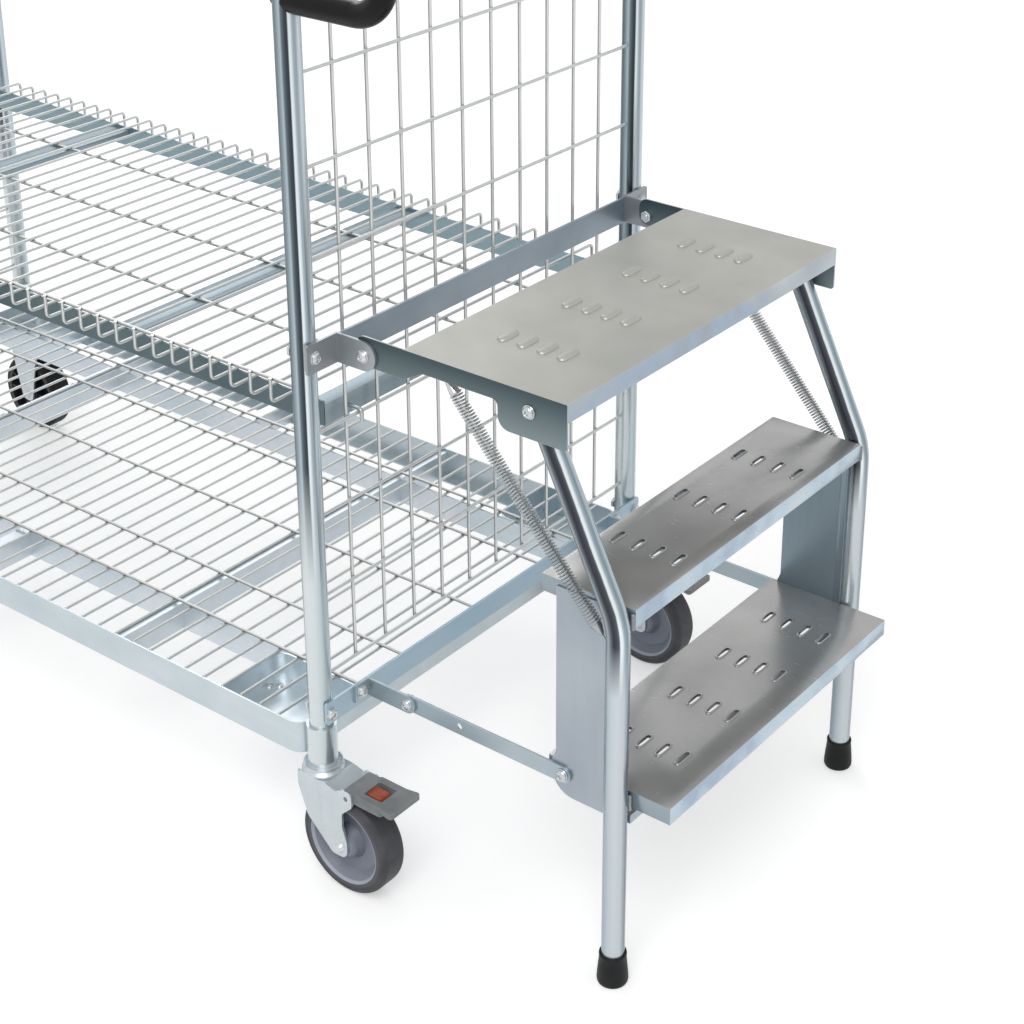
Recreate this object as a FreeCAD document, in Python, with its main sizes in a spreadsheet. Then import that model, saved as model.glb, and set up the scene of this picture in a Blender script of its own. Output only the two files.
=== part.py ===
import FreeCAD, Part
import math
import os

V = FreeCAD.Vector
os.makedirs("parts", exist_ok=True)
doc = FreeCAD.newDocument("order_picking_trolley")

# Driving dimensions in millimetres, grouped by the piece that they shape
SIZES = {
    # End frames: bent tube, standing in sockets
    "frame_length": 1219, "frame_width": 576, "frame_height": 1500,
    "post_d": 27, "post_wall": 1.5, "frame_bend": 70, "post_seat": 5,
    "seat_gap": 0.1, "swing_gap": 0.3, "bore_fit": 0.05,
    # Welded wire panels
    "wire_d": 4, "wire_gap": 0.1, "mesh_pitch": 30, "mesh_margin": 32,
    "panel_pitch": 50, "panel_columns": 10, "panel_rise": 98, "panel_base": 255, "panel_overhang": 5,
    "panel_top_gap": 0.7,
    # Deck
    "deck_base": 153, "rim_height": 40, "rim_wall": 2, "rim_flange": 22, "rim_out": 14.7, "rim_corner": 20,
    "socket_d": 34, "socket_height": 45, "socket_fit": 0.15,
    "trough_width": 131, "trough_wall": 2, "trough_corner": 20,
    "pan_screw_d": 5, "pan_screw_head_d": 9, "pan_screw_head": 3.5,
    "pan_screw_x": 7.8, "pan_screw_inset": 57.7, "pan_screw_step": 8.5,
    "deck_top": 190, "rail_inset": 85.5, "rail_wall": 2.5,
    "cross_spacing": 287.5, "cross_flange": 16,
    "deck_wire_outer": 82, "deck_wire_inner": 158,
    # Shelf
    "shelf_top": 571, "shelf_end": 16, "shelf_rail_inset": 42, "shelf_rail_depth": 29,
    "shelf_wall": 2, "shelf_edge": 4, "shelf_lip": 28, "shelf_end_flange": 20,
    "shelf_wire_inner": 156, "shelf_cross_spacing": 278, "shelf_cross_width": 36, "shelf_cross_depth": 8,
    "hook_d": 5, "hook_inset": 78, "hook_drop": 14, "hook_bend": 3.75,
    # Wheels and casters
    "wheel_d": 125, "tyre_width": 35, "tyre_depth": 9.5, "tyre_shoulder": 7,
    "hub_width": 38, "hub_boss_d": 34, "hub_web": 10, "hub_rim": 5, "hub_dome": 5,
    "axle_d": 8, "axle_head_d": 13, "axle_tip_d": 8.5, "axle_head": 3,
    "fork_wall": 3, "fork_gap": 1.2, "axle_boss_d": 22,
    "caster_trail": 42, "head_d": 44, "head_height": 7, "head_step": 2.3,
    "crown_d": 48, "crown_height": 15, "crown_chamfer": 4,
    "kingpin_d": 14, "kingpin_cap": 4, "kingpin_cap_d": 20, "stem_length": 32, "stem_fit": 0.2,
    "fork_front": 18, "fork_knee_x": 5, "fork_knee_z": 86, "fork_round": 8,
    "fork_waist": 5, "fork_waist_z": 92, "fork_neck_z": 110,
    "bridge_front": 15, "bridge_back": 44, "bridge_rise": 10, "bridge_fall": 5, "bridge_lift": 4,
    "pedal_pivot_x": 54, "pedal_pivot_z": 133, "pedal_pin_d": 6, "pedal_knuckle": 6, "pedal_ear": 8.5,
    "pedal_width": 44, "pedal_depth": 12, "pedal_low": 2, "pedal_root": 12, "pedal_end": 50,
    "pedal_tip": 68, "pedal_tip_width": 51, "pedal_thick": 6, "pedal_corner": 4,
    "pedal_window": 26, "window_start": 18, "window_end": 44,
    "cam_width": 16, "cam_length": 20, "cam_toe": 8, "cam_belly": 10.6, "cam_heel": 15, "cam_drop": 3,
    "rear_caster_x": 72, "rear_caster_inset": 42, "plate_length": 115, "plate_width": 85, "plate_thick": 3,
    "plate_corner": 8, "plate_hole_x": 86, "plate_hole_y": 60, "rear_leg_width": 66,
    "rib_count": 12, "rib_thick": 2.5, "rib_inset": 1,
    # Fasteners
    "bolt_d": 8, "bolt_head_d": 15, "bolt_head": 5, "shank_fit": 0.02,
    # Push handles
    "handle_d": 26, "handle_low": 1017, "handle_height": 300, "handle_reach": 127, "handle_bend": 38,
    "handle_bore": 29, "handle_thread": 14,
    # Ladder linkage, measured from the ladder-end post axes
    "bracket_wall": 3, "bracket_height": 33, "bracket_lap": 12, "bracket_corner": 3,
    "hinge_x": 52, "hinge_z": 646, "link_length": 212, "lower_hinge_x": 76, "lower_hinge_z": 222,
    "link_height": 20, "link_wall": 3, "link_hole_x": 72, "link_hole_d": 8, "pivot_slack": 0.3,
    "rail_z": 218, "rail_height": 28, "rail_lap": 8, "rail_bolt_z": 216,
    "crossbar_height": 32, "crossbar_fold": 8, "crossbar_rise": 15,
    "link_bracket_foot": 21, "link_bracket_height": 22,
    # Treads
    "sheet": 2, "tread_inset": 36, "fold": 20, "arm_height": 24, "sheet_corner": 14,
    "top_start": 104, "top_end": 310, "top_z": 667, "lobe_start": 225, "lobe_drop": 50, "lobe_corner": 4,
    "middle_start": 256, "middle_end": 373, "middle_z": 451,
    "bottom_start": 266, "bottom_end": 420, "bottom_z": 236,
    "louvre_length": 28, "louvre_width": 10, "louvre_rise": 1.6,
    "mouth_length": 20, "mouth_width": 3, "mouth_offset": 2.5,
    "top_louvre_x": 167, "top_louvre_step": 25.3, "top_louvre_row": 108,
    "middle_louvre_x": 276, "middle_louvre_step": 25.3, "middle_louvre_row": 117,
    "bottom_louvre_x": 308.5, "bottom_louvre_step": 24.6, "bottom_louvre_row": 96,
    # Legs, side plates and springs
    "leg_d": 25, "leg_wall": 1.5, "leg_x": 363, "leg_bend_z": 440, "leg_bend": 90, "leg_top": 6,
    "foot_d": 34, "foot_taper": 3, "foot_height": 38, "foot_sole": 6, "foot_edge": 2,
    "side_wall": 2.5, "side_start": 277, "side_end": 350, "side_base": 195, "side_top": 445, "side_lobe": 5,
    "lobe_low": 12, "lobe_high": 24, "lobe_round": 10,
    "brace_width": 20, "brace_height": 10, "brace_z": 203,
    "spring_wire": 2.0, "spring_d": 13, "spring_coils": 46,
    "spring_top_x": 141, "spring_top_z": 650, "spring_low_z": 415, "spring_hook": 18, "spring_low_hook": 22,
}
sheet = doc.addObject("Spreadsheet::Sheet", "dims")
for row, (alias, number) in enumerate(SIZES.items(), start=1):
    sheet.set(f"A{row}", alias)
    sheet.set(f"B{row}", str(number))
    sheet.setAlias(f"B{row}", alias)
doc.recompute()


def size(alias):
    return float(sheet.get(alias))


# Places worked out from the driving dimensions
SIDES = {"front": -1, "back": 1}
half_width = size("frame_width") / 2
post_r = size("post_d") / 2
wire_r = size("wire_d") / 2
rear_reach = size("frame_length") + post_r + size("bolt_head")
post_x = (rear_reach - size("bottom_end")) / 2
rear_x = post_x - size("frame_length")
centre_x = (post_x + rear_x) / 2
wheel_r = size("wheel_d") / 2
deck_base = size("deck_base")
deck_end = size("socket_d") / 2 + size("seat_gap")
deck_low_x = rear_x + deck_end
deck_high_x = post_x - deck_end
rim_y = half_width + size("rim_out")
face_x = post_x + post_r + size("seat_gap")
handle_heights = (size("handle_low"), size("handle_low") + size("handle_height"))
hinge_x = post_x + size("hinge_x")
hinge_z = size("hinge_z")
leg_pivot_x = hinge_x + size("link_length")
lower_x = post_x + size("lower_hinge_x")
lower_z = size("lower_hinge_z")
plate_pivot_x = lower_x + size("link_length")

# Depths of the ladder's layers, counted inward from the post axes
ear_inset = size("tread_inset") - size("swing_gap") - size("bracket_wall")
flange_inner = size("tread_inset") + size("sheet")
leg_inset = flange_inner + size("swing_gap") + size("leg_d") / 2
side_inset = leg_inset + size("leg_d") / 2 + size("seat_gap")
step_inset = side_inset + size("side_wall")
link_inset = side_inset - size("swing_gap") - size("link_wall")
link_ear_inset = link_inset - size("swing_gap") - size("bracket_wall")
link_screw_y = half_width - link_ear_inset + size("link_bracket_foot") / 2

PLANES = {"XY": ("XY_Plane", 1), "XZ": ("XZ_Plane", -1), "YZ": ("YZ_Plane", 1)}
nodes = []


def origin_feature(body, role):
    return next(feature for feature in body.Origin.OriginFeatures if feature.Role == role)


def new_body(label):
    body = doc.addObject("PartDesign::Body", label)
    body.Label = label
    body.AllowCompound = True
    nodes.append(body)
    return body


def sketch(body, plane, at, loops, centre=(0, 0)):
    """Sketch parallel to a plane of the body, at a place along the plane's axis."""
    role, sign = PLANES[plane]
    drawing = body.newObject("Sketcher::SketchObject", f"{body.Name}_sketch")
    drawing.AttachmentSupport = [(origin_feature(body, role), "")]
    drawing.MapMode = "FlatFace"
    drawing.AttachmentOffset = FreeCAD.Placement(V(centre[0], centre[1], sign * at), FreeCAD.Rotation())
    for loop in loops:
        drawing.addGeometry(loop, False)
    return drawing


def pad(body, plane, at, length, *loops):
    """Solid that grows from `at` along the plane's axis; its length is an expression of the sheet."""
    feature = body.newObject("PartDesign::Pad", f"{body.Name}_pad")
    feature.Profile = sketch(body, plane, at, loops)
    feature.setExpression("Length", length)
    feature.Reversed = plane == "XZ"
    return feature


def pocket(body, plane, at, length, *loops):
    """Cut that runs from `at` along the plane's axis."""
    feature = body.newObject("PartDesign::Pocket", f"{body.Name}_pocket")
    feature.Profile = sketch(body, plane, at, loops)
    feature.setExpression("Length", length)
    feature.Reversed = plane != "XZ"
    return feature


def revolve(body, plane, centre, at, axis, *loops):
    """Full turn about the sketch's own axis through `centre`."""
    feature = body.newObject("PartDesign::Revolution", f"{body.Name}_turn")
    drawing = sketch(body, plane, at, loops, centre)
    feature.Profile = drawing
    feature.ReferenceAxis = (drawing, [axis])
    feature.Angle = 360
    return feature


def pipe(body, profile, path, sharp=False):
    """Section carried along a path sketch, with mitred corners where it has no bends."""
    doc.recompute()
    feature = body.newObject("PartDesign::AdditivePipe", f"{body.Name}_pipe")
    feature.Profile = profile
    feature.Spine = path
    if sharp:
        feature.Transition = "Right corner"
    return feature


def repeat(body, feature, axis_role, count, length):
    """Straight row of copies of a feature."""
    row_of = body.newObject("PartDesign::LinearPattern", f"{body.Name}_row")
    row_of.Originals = [feature]
    row_of.Direction = (origin_feature(body, axis_role), [""])
    row_of.Length = length
    row_of.Occurrences = count
    body.Tip = row_of
    return row_of


def circle(a, b, radius):
    return [Part.Circle(V(a, b, 0), V(0, 0, 1), radius)]


def rounded(corners, closed=True):
    """Outline through the corners (a, b) or (a, b, radius); a radius turns its corner into an arc."""
    count = len(corners)
    spans = []
    for i, corner in enumerate(corners):
        point = V(corner[0], corner[1], 0)
        if len(corner) == 2:
            spans.append((point, point, None))
            continue
        back = (V(*corners[i - 1][:2], 0) - point).normalize()
        ahead = (V(*corners[(i + 1) % count][:2], 0) - point).normalize()
        half = back.getAngle(ahead) / 2
        reach = corner[2] / math.tan(half)
        middle = (back + ahead).normalize()
        top = point + middle * (corner[2] / math.sin(half) - corner[2])
        spans.append((point + back * reach, point + ahead * reach, top))
    edges = []
    for i, (first, last, top) in enumerate(spans):
        if top is not None:
            edges.append(Part.Arc(first, top, last))
        following = spans[(i + 1) % count][0]
        wanted = closed or i + 1 < count
        if wanted and (following - last).Length > 1e-6:
            edges.append(Part.LineSegment(last, following))
    return edges


def rectangle(a_low, b_low, a_high, b_high, radius=None):
    tail = () if radius is None else (radius,)
    corners = [(a_low, b_low), (a_high, b_low), (a_high, b_high), (a_low, b_high)]
    return rounded([corner + tail for corner in corners])


def slot(a, b, length, width):
    """Round-ended slot along the second axis, just short of a full half circle at each end."""
    end = width / 2 * 0.999
    return rectangle(a - width / 2, b - length / 2, a + width / 2, b + length / 2, end)


def wire_section(a, b):
    """Eight-sided section of a wire, as wide across its corners as the wire."""
    turns = [math.pi / 4 * (k + 0.5) for k in range(8)]
    return rounded([(a + wire_r * math.cos(turn), b + wire_r * math.sin(turn)) for turn in turns])


def inward(side, inset, thick=0.0):
    """Low Y of a layer that starts `inset` inside the post axis on a side of the trolley."""
    if SIDES[side] < 0:
        return -half_width + inset
    return half_width - inset - thick


def primitive(kind, name, place, axis, **sizes):
    """Part primitive whose sizes are expressions of the sheet, laid along an axis."""
    thing = doc.addObject(f"Part::{kind}", name)
    for prop, text in sizes.items():
        thing.setExpression(prop, str(text))
    thing.Placement = FreeCAD.Placement(place, FreeCAD.Rotation(V(0, 0, 1), axis))
    return thing


def fuse(label, shapes):
    joined = doc.addObject("Part::MultiFuse", label)
    joined.Shapes = shapes
    return joined


def group(label, members):
    """Node that holds several like pieces."""
    holder = doc.addObject("Part::Compound", label)
    holder.Label = label
    holder.Links = members
    nodes.append(holder)
    return holder


def bolt(label, bearing, axis, grip, nut=True):
    """Hexagon bolt: the head bears at `bearing`, the shank runs along `axis` through the grip to a nut."""
    head = primitive("Prism", f"{label}_head", bearing - axis * size("bolt_head"), axis,
                     Circumradius="dims.bolt_head_d / 2", Height="dims.bolt_head")
    head.Polygon = 6
    reach = grip + (size("bolt_head") if nut else 0)
    shank = primitive("Cylinder", f"{label}_shank", bearing - axis * size("bolt_head") / 2, axis,
                      Radius="dims.bolt_d / 2", Height=f"{reach} + dims.bolt_head / 2")
    pieces = [head, shank]
    if nut:
        pieces.append(primitive("Prism", f"{label}_nut", bearing + axis * grip, axis,
                                Circumradius="dims.bolt_head_d / 2", Height="dims.bolt_head"))
        pieces[-1].Polygon = 6
    return fuse(label, pieces)


# Deck: rim, corner troughs, inner rails, cross members and wire
def deck_rim():
    body = new_body("deck_rim")
    wall = size("rim_wall")
    corner = size("rim_corner")
    outer = rectangle(deck_low_x, -rim_y, deck_high_x, rim_y, corner)
    inner = rectangle(deck_low_x + wall, -rim_y + wall, deck_high_x - wall, rim_y - wall, corner - wall)
    pad(body, "XY", deck_base, "dims.rim_height", outer, inner)
    low_x = deck_low_x + size("trough_width")
    high_x = deck_high_x - size("trough_width")
    for sign in SIDES.values():
        edges = sorted((sign * (rim_y - wall / 2), sign * (rim_y - size("rim_flange"))))
        pad(body, "XY", deck_base, "dims.rim_wall", rectangle(low_x, edges[0], high_x, edges[1]))


def end_trough(label, end_x, toward, holes):
    """Corner troughs at one end of the deck, each with a floor and a wall that turns along an inner rail."""
    body = new_body(label)
    wall = size("trough_wall")
    gap = size("seat_gap")
    corner = size("trough_corner")
    rim_round = size("rim_corner") - size("rim_wall") - gap
    start = end_x + toward * (size("rim_wall") + gap)
    stop = end_x + toward * (size("trough_width") - gap)
    inside = stop - toward * wall
    rim_side = rim_y - size("rim_wall") - gap
    rail_side = half_width - size("rail_inset") + gap
    for sign in SIDES.values():
        near = sign * rail_side
        far = sign * rim_side
        floor = [(start, near), (start, far, rim_round), (stop, far), (stop, near, corner)]
        pad(body, "XY", deck_base, "dims.trough_wall", rounded(floor))
        lined = near + sign * wall
        fence = [(stop, far), (stop, near, corner), (start, near), (start, lined),
                 (inside, lined, corner - wall), (inside, far)]
        fence_height = "dims.deck_top - dims.deck_base - dims.trough_wall / 2"
        pad(body, "XY", deck_base + wall / 2, fence_height, rounded(fence))
    pocket(body, "XY", deck_base - wall, "3 * dims.trough_wall", *holes)


def pan_screw_places():
    """Pairs of screws in the floors of the ladder-end troughs."""
    x = deck_high_x - size("trough_width") + size("pan_screw_x")
    inset = size("pan_screw_inset")
    step = size("pan_screw_step")
    return [(x + k * step, sign * (half_width - inset - k * step)) for sign in SIDES.values() for k in (0, 1)]


def rear_bolt_places():
    """Bolts of the two rear caster plates."""
    x = rear_x + size("rear_caster_x")
    y = half_width - size("rear_caster_inset")
    return [(x + i * size("plate_hole_x") / 2, sign * y + j * size("plate_hole_y") / 2)
            for sign in SIDES.values() for i in (-1, 1) for j in (-1, 1)]


def deck_inner_rails():
    """Flat bars on edge along the deck."""
    body = new_body("deck_inner_rails")
    low_x = deck_low_x + size("rim_wall") + size("seat_gap")
    high_x = deck_high_x - size("rim_wall") - size("seat_gap")
    bar = rectangle(low_x, deck_base, high_x, size("deck_top"))
    for side in SIDES:
        pad(body, "XZ", inward(side, size("rail_inset"), size("rail_wall")), "dims.rail_wall", bar)


def deck_cross_members():
    """Angle bars across the deck, each cut where an inner rail passes; the middle one stops at the rails."""
    body = new_body("deck_cross_members")
    wall = size("rim_wall")
    gap = size("seat_gap")
    top = size("deck_top")
    base = deck_base + wall + gap
    rail_out = half_width - size("rail_inset") + gap
    rail_in = rail_out - size("rail_wall") - 2 * gap
    edge = rim_y - wall - gap
    for step in (-1, 0, 1):
        web = centre_x + step * size("cross_spacing") + size("cross_flange") / 2
        tip = web - size("cross_flange")
        corners = [(web, base), (web, top), (tip, top), (tip, top - wall),
                   (web - wall, top - wall), (web - wall, base)]
        spans = [(-edge, -rail_out), (rail_out, edge)]
        if step:
            spans.append((-rail_in, rail_in))
        for low, high in spans:
            pad(body, "XZ", low, f"{high - low}", rounded(corners))


def mesh_row(low_x, high_x):
    """Count and first place of the cross wires that fit between two ends."""
    room = high_x - low_x - 2 * size("mesh_margin")
    count = int(room // size("mesh_pitch")) + 1
    return count, centre_x - (count - 1) * size("mesh_pitch") / 2


def deck_mesh():
    body = new_body("deck_mesh")
    count, first_x = mesh_row(deck_low_x, deck_high_x)
    cross_z = size("deck_top") + wire_r + size("wire_gap")
    edge = rim_y - size("rim_wall") - size("wire_gap")
    cross = pad(body, "XZ", -edge, f"{2 * edge}", wire_section(first_x, cross_z))
    repeat(body, cross, "X_Axis", count, (count - 1) * size("mesh_pitch"))
    long_z = cross_z + size("wire_d") + size("wire_gap")
    low_x = deck_low_x + size("rim_wall") + size("wire_gap")
    length = deck_high_x - deck_low_x - 2 * (size("rim_wall") + size("wire_gap"))
    outer = half_width - size("deck_wire_outer")
    inner = half_width - size("deck_wire_inner")
    loops = [wire_section(y, long_z) for y in (-outer, -inner, 0, inner, outer)]
    body.Tip = pad(body, "YZ", low_x, f"{length}", *loops)


# End frames with their sockets and wire panels
def end_frame(label, x, bolt_heights):
    body = new_body(label)
    base = deck_base + size("post_seat")
    top = size("frame_height") - post_r
    bend = size("frame_bend")
    corners = [(-half_width, base), (-half_width, top, bend), (half_width, top, bend), (half_width, base)]
    path = sketch(body, "YZ", x, [rounded(corners, closed=False)])
    ring = [circle(x, -half_width, post_r), circle(x, -half_width, post_r - size("post_wall"))]
    pipe(body, sketch(body, "XY", base, ring), path)
    radius = size("bolt_d") / 2 + size("shank_fit")
    holes = [circle(sign * half_width, height, radius) for sign in SIDES.values() for height in bolt_heights]
    pocket(body, "YZ", x - size("post_d"), "2 * dims.post_d", *holes)


def end_panel(label, x, inner):
    """Wire panel in an end frame: the rungs reach the tube and the uprights lie on their inner side."""
    body = new_body(label)
    base = size("panel_base")
    top = size("frame_height") - size("post_d") - size("panel_top_gap")
    rows = int((top - base - size("panel_overhang")) // size("panel_rise")) + 1
    reach = half_width - post_r - size("wire_gap")
    bend = size("frame_bend")
    bend_z = size("frame_height") - post_r - bend
    straight_rows = min(rows, int((bend_z - wire_r - base) // size("panel_rise")) + 1)
    rung = pad(body, "XZ", -reach, f"{2 * reach}", wire_section(x, base))
    repeat(body, rung, "Z_Axis", straight_rows, (straight_rows - 1) * size("panel_rise"))
    for row in range(straight_rows, rows):
        z = base + row * size("panel_rise")
        in_bend = math.sqrt((bend - post_r) ** 2 - (z + wire_r - bend_z) ** 2)
        short = half_width - bend + in_bend - size("wire_gap")
        pad(body, "XZ", -short, f"{2 * short}", wire_section(x, z))
    upright_x = x + inner * (size("wire_d") + size("wire_gap"))
    columns = int(size("panel_columns"))
    first_y = -(columns - 1) * size("panel_pitch") / 2
    low_z = base - size("panel_overhang")
    places = [first_y + k * size("panel_pitch") for k in range(columns)]
    loops = [wire_section(upright_x, y) for y in places]
    body.Tip = pad(body, "XY", low_z, f"{top - low_z}", *loops)


def corner_sockets():
    body = new_body("corner_sockets")
    bore = post_r + size("socket_fit")
    loops = []
    for x in (post_x, rear_x):
        for sign in SIDES.values():
            loops += [circle(x, sign * half_width, size("socket_d") / 2), circle(x, sign * half_width, bore)]
    pad(body, "XY", deck_base, "dims.socket_height", *loops)


# Shelf: rails, cross members, bent wire and hooks
def shelf_rails():
    """Flat bars on edge along the shelf."""
    body = new_body("shelf_rails")
    top = size("shelf_top")
    base = top - size("shelf_rail_depth")
    bar = rectangle(rear_x + size("shelf_end"), base, post_x - size("shelf_end"), top)
    for side in SIDES:
        pad(body, "XZ", inward(side, size("shelf_rail_inset"), size("shelf_wall")), "dims.shelf_wall", bar)


def shelf_cross_members():
    """Shallow channels under the shelf wire, open downward, and an angle bar at each end."""
    body = new_body("shelf_cross_members")
    wall = size("shelf_wall")
    gap = size("seat_gap")
    top = size("shelf_top") - size("wire_d") - 2 * size("wire_gap") - gap
    base = top - size("shelf_cross_depth")
    reach = half_width - size("shelf_rail_inset") - wall - gap
    half = size("shelf_cross_width") / 2
    for step in (-1, 0, 1):
        x = centre_x + step * size("shelf_cross_spacing")
        corners = [(x - half, base), (x - half, top), (x + half, top), (x + half, base),
                   (x + half - wall, base), (x + half - wall, top - wall),
                   (x - half + wall, top - wall), (x - half + wall, base)]
        pad(body, "XZ", -reach, f"{2 * reach}", rounded(corners))
    low = size("shelf_top") - size("shelf_rail_depth")
    for end_x, toward in ((rear_x + size("shelf_end"), 1), (post_x - size("shelf_end"), -1)):
        web = end_x + toward * wall
        tip = end_x + toward * size("shelf_end_flange")
        corners = [(end_x, low), (end_x, top), (tip, top), (tip, top - wall), (web, top - wall), (web, low)]
        pad(body, "XZ", -reach, f"{2 * reach}", rounded(corners))


def shelf_mesh():
    """Cross wires bent up along the front and down along the back, on five long wires."""
    body = new_body("shelf_mesh")
    count, first_x = mesh_row(rear_x + size("shelf_end"), post_x - size("shelf_end"))
    plane_z = size("shelf_top") + wire_r + size("wire_gap")
    edge = half_width - size("shelf_edge")
    lip = size("shelf_lip")
    bends = [(-edge, plane_z + lip), (-edge, plane_z), (edge, plane_z), (edge, plane_z - lip)]
    path = sketch(body, "YZ", first_x, [rounded(bends, closed=False)])
    section = sketch(body, "XY", plane_z + lip, [wire_section(first_x, -edge)])
    cross = pipe(body, section, path, sharp=True)
    repeat(body, cross, "X_Axis", count, (count - 1) * size("mesh_pitch"))
    low_x = rear_x + size("shelf_end")
    length = size("frame_length") - 2 * size("shelf_end")
    apart = size("wire_d") + size("wire_gap")
    inner = half_width - size("shelf_wire_inner")
    places = [(y, plane_z - apart) for y in (-inner, 0, inner)]
    places.append((apart - edge, plane_z + lip - wire_r))
    places.append((edge - apart, plane_z - lip + wire_r))
    body.Tip = pad(body, "YZ", low_x, f"{length}", *[wire_section(y, z) for y, z in places])


def shelf_hooks():
    """Bent rods on the end bars of the shelf, laid over a rung of each wire panel."""
    body = new_body("shelf_hooks")
    radius = size("hook_d") / 2
    rungs = math.floor((size("shelf_top") - size("panel_base")) / size("panel_rise"))
    rung_z = size("panel_base") + rungs * size("panel_rise")
    z = rung_z + wire_r + radius + size("wire_gap")
    tip = wire_r + radius + size("swing_gap")
    for x, outward in ((post_x, 1), (rear_x, -1)):
        start = x - outward * (size("shelf_end") - size("seat_gap"))
        far = x + outward * tip
        bends = [(start, z), (far, z, size("hook_bend")), (far, z - size("hook_drop"))]
        for sign in SIDES.values():
            y = sign * (half_width - size("hook_inset"))
            path = sketch(body, "XZ", y, [rounded(bends, closed=False)])
            pipe(body, sketch(body, "YZ", start, [circle(y, z, radius)]), path)


# Push handles on the ladder-end posts
def push_handle(side):
    """Bent grip whose ends sit on the post like saddles, each bored for a bolt."""
    body = new_body(f"push_handle_{side}")
    y = SIDES[side] * half_width
    low = size("handle_low")
    high = low + size("handle_height")
    bend = size("handle_bend")
    grip_x = post_x + size("handle_reach")
    corners = [(post_x, low), (grip_x, low, bend), (grip_x, high, bend), (post_x, high)]
    path = sketch(body, "XZ", y, [rounded(corners, closed=False)])
    pipe(body, sketch(body, "YZ", post_x, [circle(y, low, size("handle_d") / 2)]), path)
    saddle = circle(post_x, y, post_r + size("seat_gap"))
    pocket(body, "XY", low - size("handle_d"), "dims.handle_height + 2 * dims.handle_d", saddle)
    bore = size("bolt_d") / 2 + size("shank_fit")
    pocket(body, "YZ", post_x, "dims.handle_bore", circle(y, low, bore), circle(y, high, bore))


# Ladder mounts on the end frame: lower rail, hinge brackets, crossbar and link brackets
def end_rail():
    body = new_body("end_rail")
    half = size("rail_height") / 2
    middle = size("rail_z")
    reach = half_width + size("rail_lap")
    radius = size("bolt_d") / 2 + size("shank_fit")
    holes = []
    for sign in SIDES.values():
        holes.append(circle(sign * half_width, size("rail_bolt_z"), radius))
        holes.append(circle(sign * link_screw_y, lower_z, radius))
    bar = rectangle(-reach, middle - half, reach, middle + half, size("bracket_corner"))
    pad(body, "YZ", face_x, "dims.bracket_wall", bar, *holes)


def hinge_brackets():
    body = new_body("hinge_brackets")
    half = size("bracket_height") / 2
    round_end = half * 0.999
    shank = size("bolt_d") / 2 + size("shank_fit")
    for side, sign in SIDES.items():
        outer = sign * (half_width + size("bracket_lap"))
        bend = sign * (half_width - ear_inset)
        inner = bend - sign * size("bracket_wall")
        corner = size("bracket_corner")
        foot = [(outer, hinge_z - half, corner), (inner, hinge_z - half), (inner, hinge_z + half),
                (outer, hinge_z + half, corner)]
        pad(body, "YZ", face_x, "dims.bracket_wall", rounded(foot), circle(sign * half_width, hinge_z, shank))
        ear = [(face_x, hinge_z - half), (hinge_x + half, hinge_z - half, round_end),
               (hinge_x + half, hinge_z + half, round_end), (face_x, hinge_z + half)]
        pad(body, "XZ", inward(side, ear_inset, size("bracket_wall")), "dims.bracket_wall",
            rounded(ear), circle(hinge_x, hinge_z, shank))


def step_crossbar():
    """Bar between the hinge brackets, with its lower edge folded in."""
    body = new_body("step_crossbar")
    wall = size("bracket_wall")
    reach = half_width - ear_inset - wall - size("seat_gap")
    top = hinge_z + size("crossbar_rise")
    base = top - size("crossbar_height")
    back = face_x - size("crossbar_fold")
    outer = face_x + wall
    corners = [(outer, base), (outer, top), (face_x, top), (face_x, base + wall),
               (back, base + wall), (back, base)]
    pad(body, "XZ", -reach, f"{2 * reach}", rounded(corners))


def link_brackets():
    body = new_body("link_brackets")
    half = size("link_bracket_height") / 2
    round_end = half * 0.999
    shank = size("bolt_d") / 2 + size("shank_fit")
    seat_x = face_x + size("bracket_wall")
    for side, sign in SIDES.items():
        bend = half_width - link_ear_inset - size("bracket_wall")
        stop = half_width - link_ear_inset + size("link_bracket_foot")
        edges = sorted((sign * bend, sign * stop))
        foot = rectangle(edges[0], lower_z - half, edges[1], lower_z + half)
        hole = circle(sign * link_screw_y, lower_z, shank)
        pad(body, "YZ", seat_x, "dims.bracket_wall", foot, hole)
        ear = [(seat_x, lower_z - half), (lower_x + half, lower_z - half, round_end),
               (lower_x + half, lower_z + half, round_end), (seat_x, lower_z + half)]
        pad(body, "XZ", inward(side, link_ear_inset, size("bracket_wall")), "dims.bracket_wall",
            rounded(ear), circle(lower_x, lower_z, shank))


def pan_screw(x, y):
    """Small screw and nut through the floor of a trough."""
    down = V(0, 0, -1)
    top = deck_base + size("trough_wall")
    low = deck_base
    pieces = [
        primitive("Cylinder", "pan_screw_head", V(x, y, top + size("pan_screw_head")), down,
                  Radius="dims.pan_screw_head_d / 2", Height="dims.pan_screw_head"),
        primitive("Cylinder", "pan_screw_shank", V(x, y, top + size("pan_screw_head") / 2), down,
                  Radius="dims.pan_screw_d / 2", Height="dims.trough_wall + dims.pan_screw_head"),
        primitive("Cylinder", "pan_screw_nut", V(x, y, low), down,
                  Radius="dims.pan_screw_head_d / 2", Height="dims.pan_screw_head"),
    ]
    return fuse("pan_screw", pieces)


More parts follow.
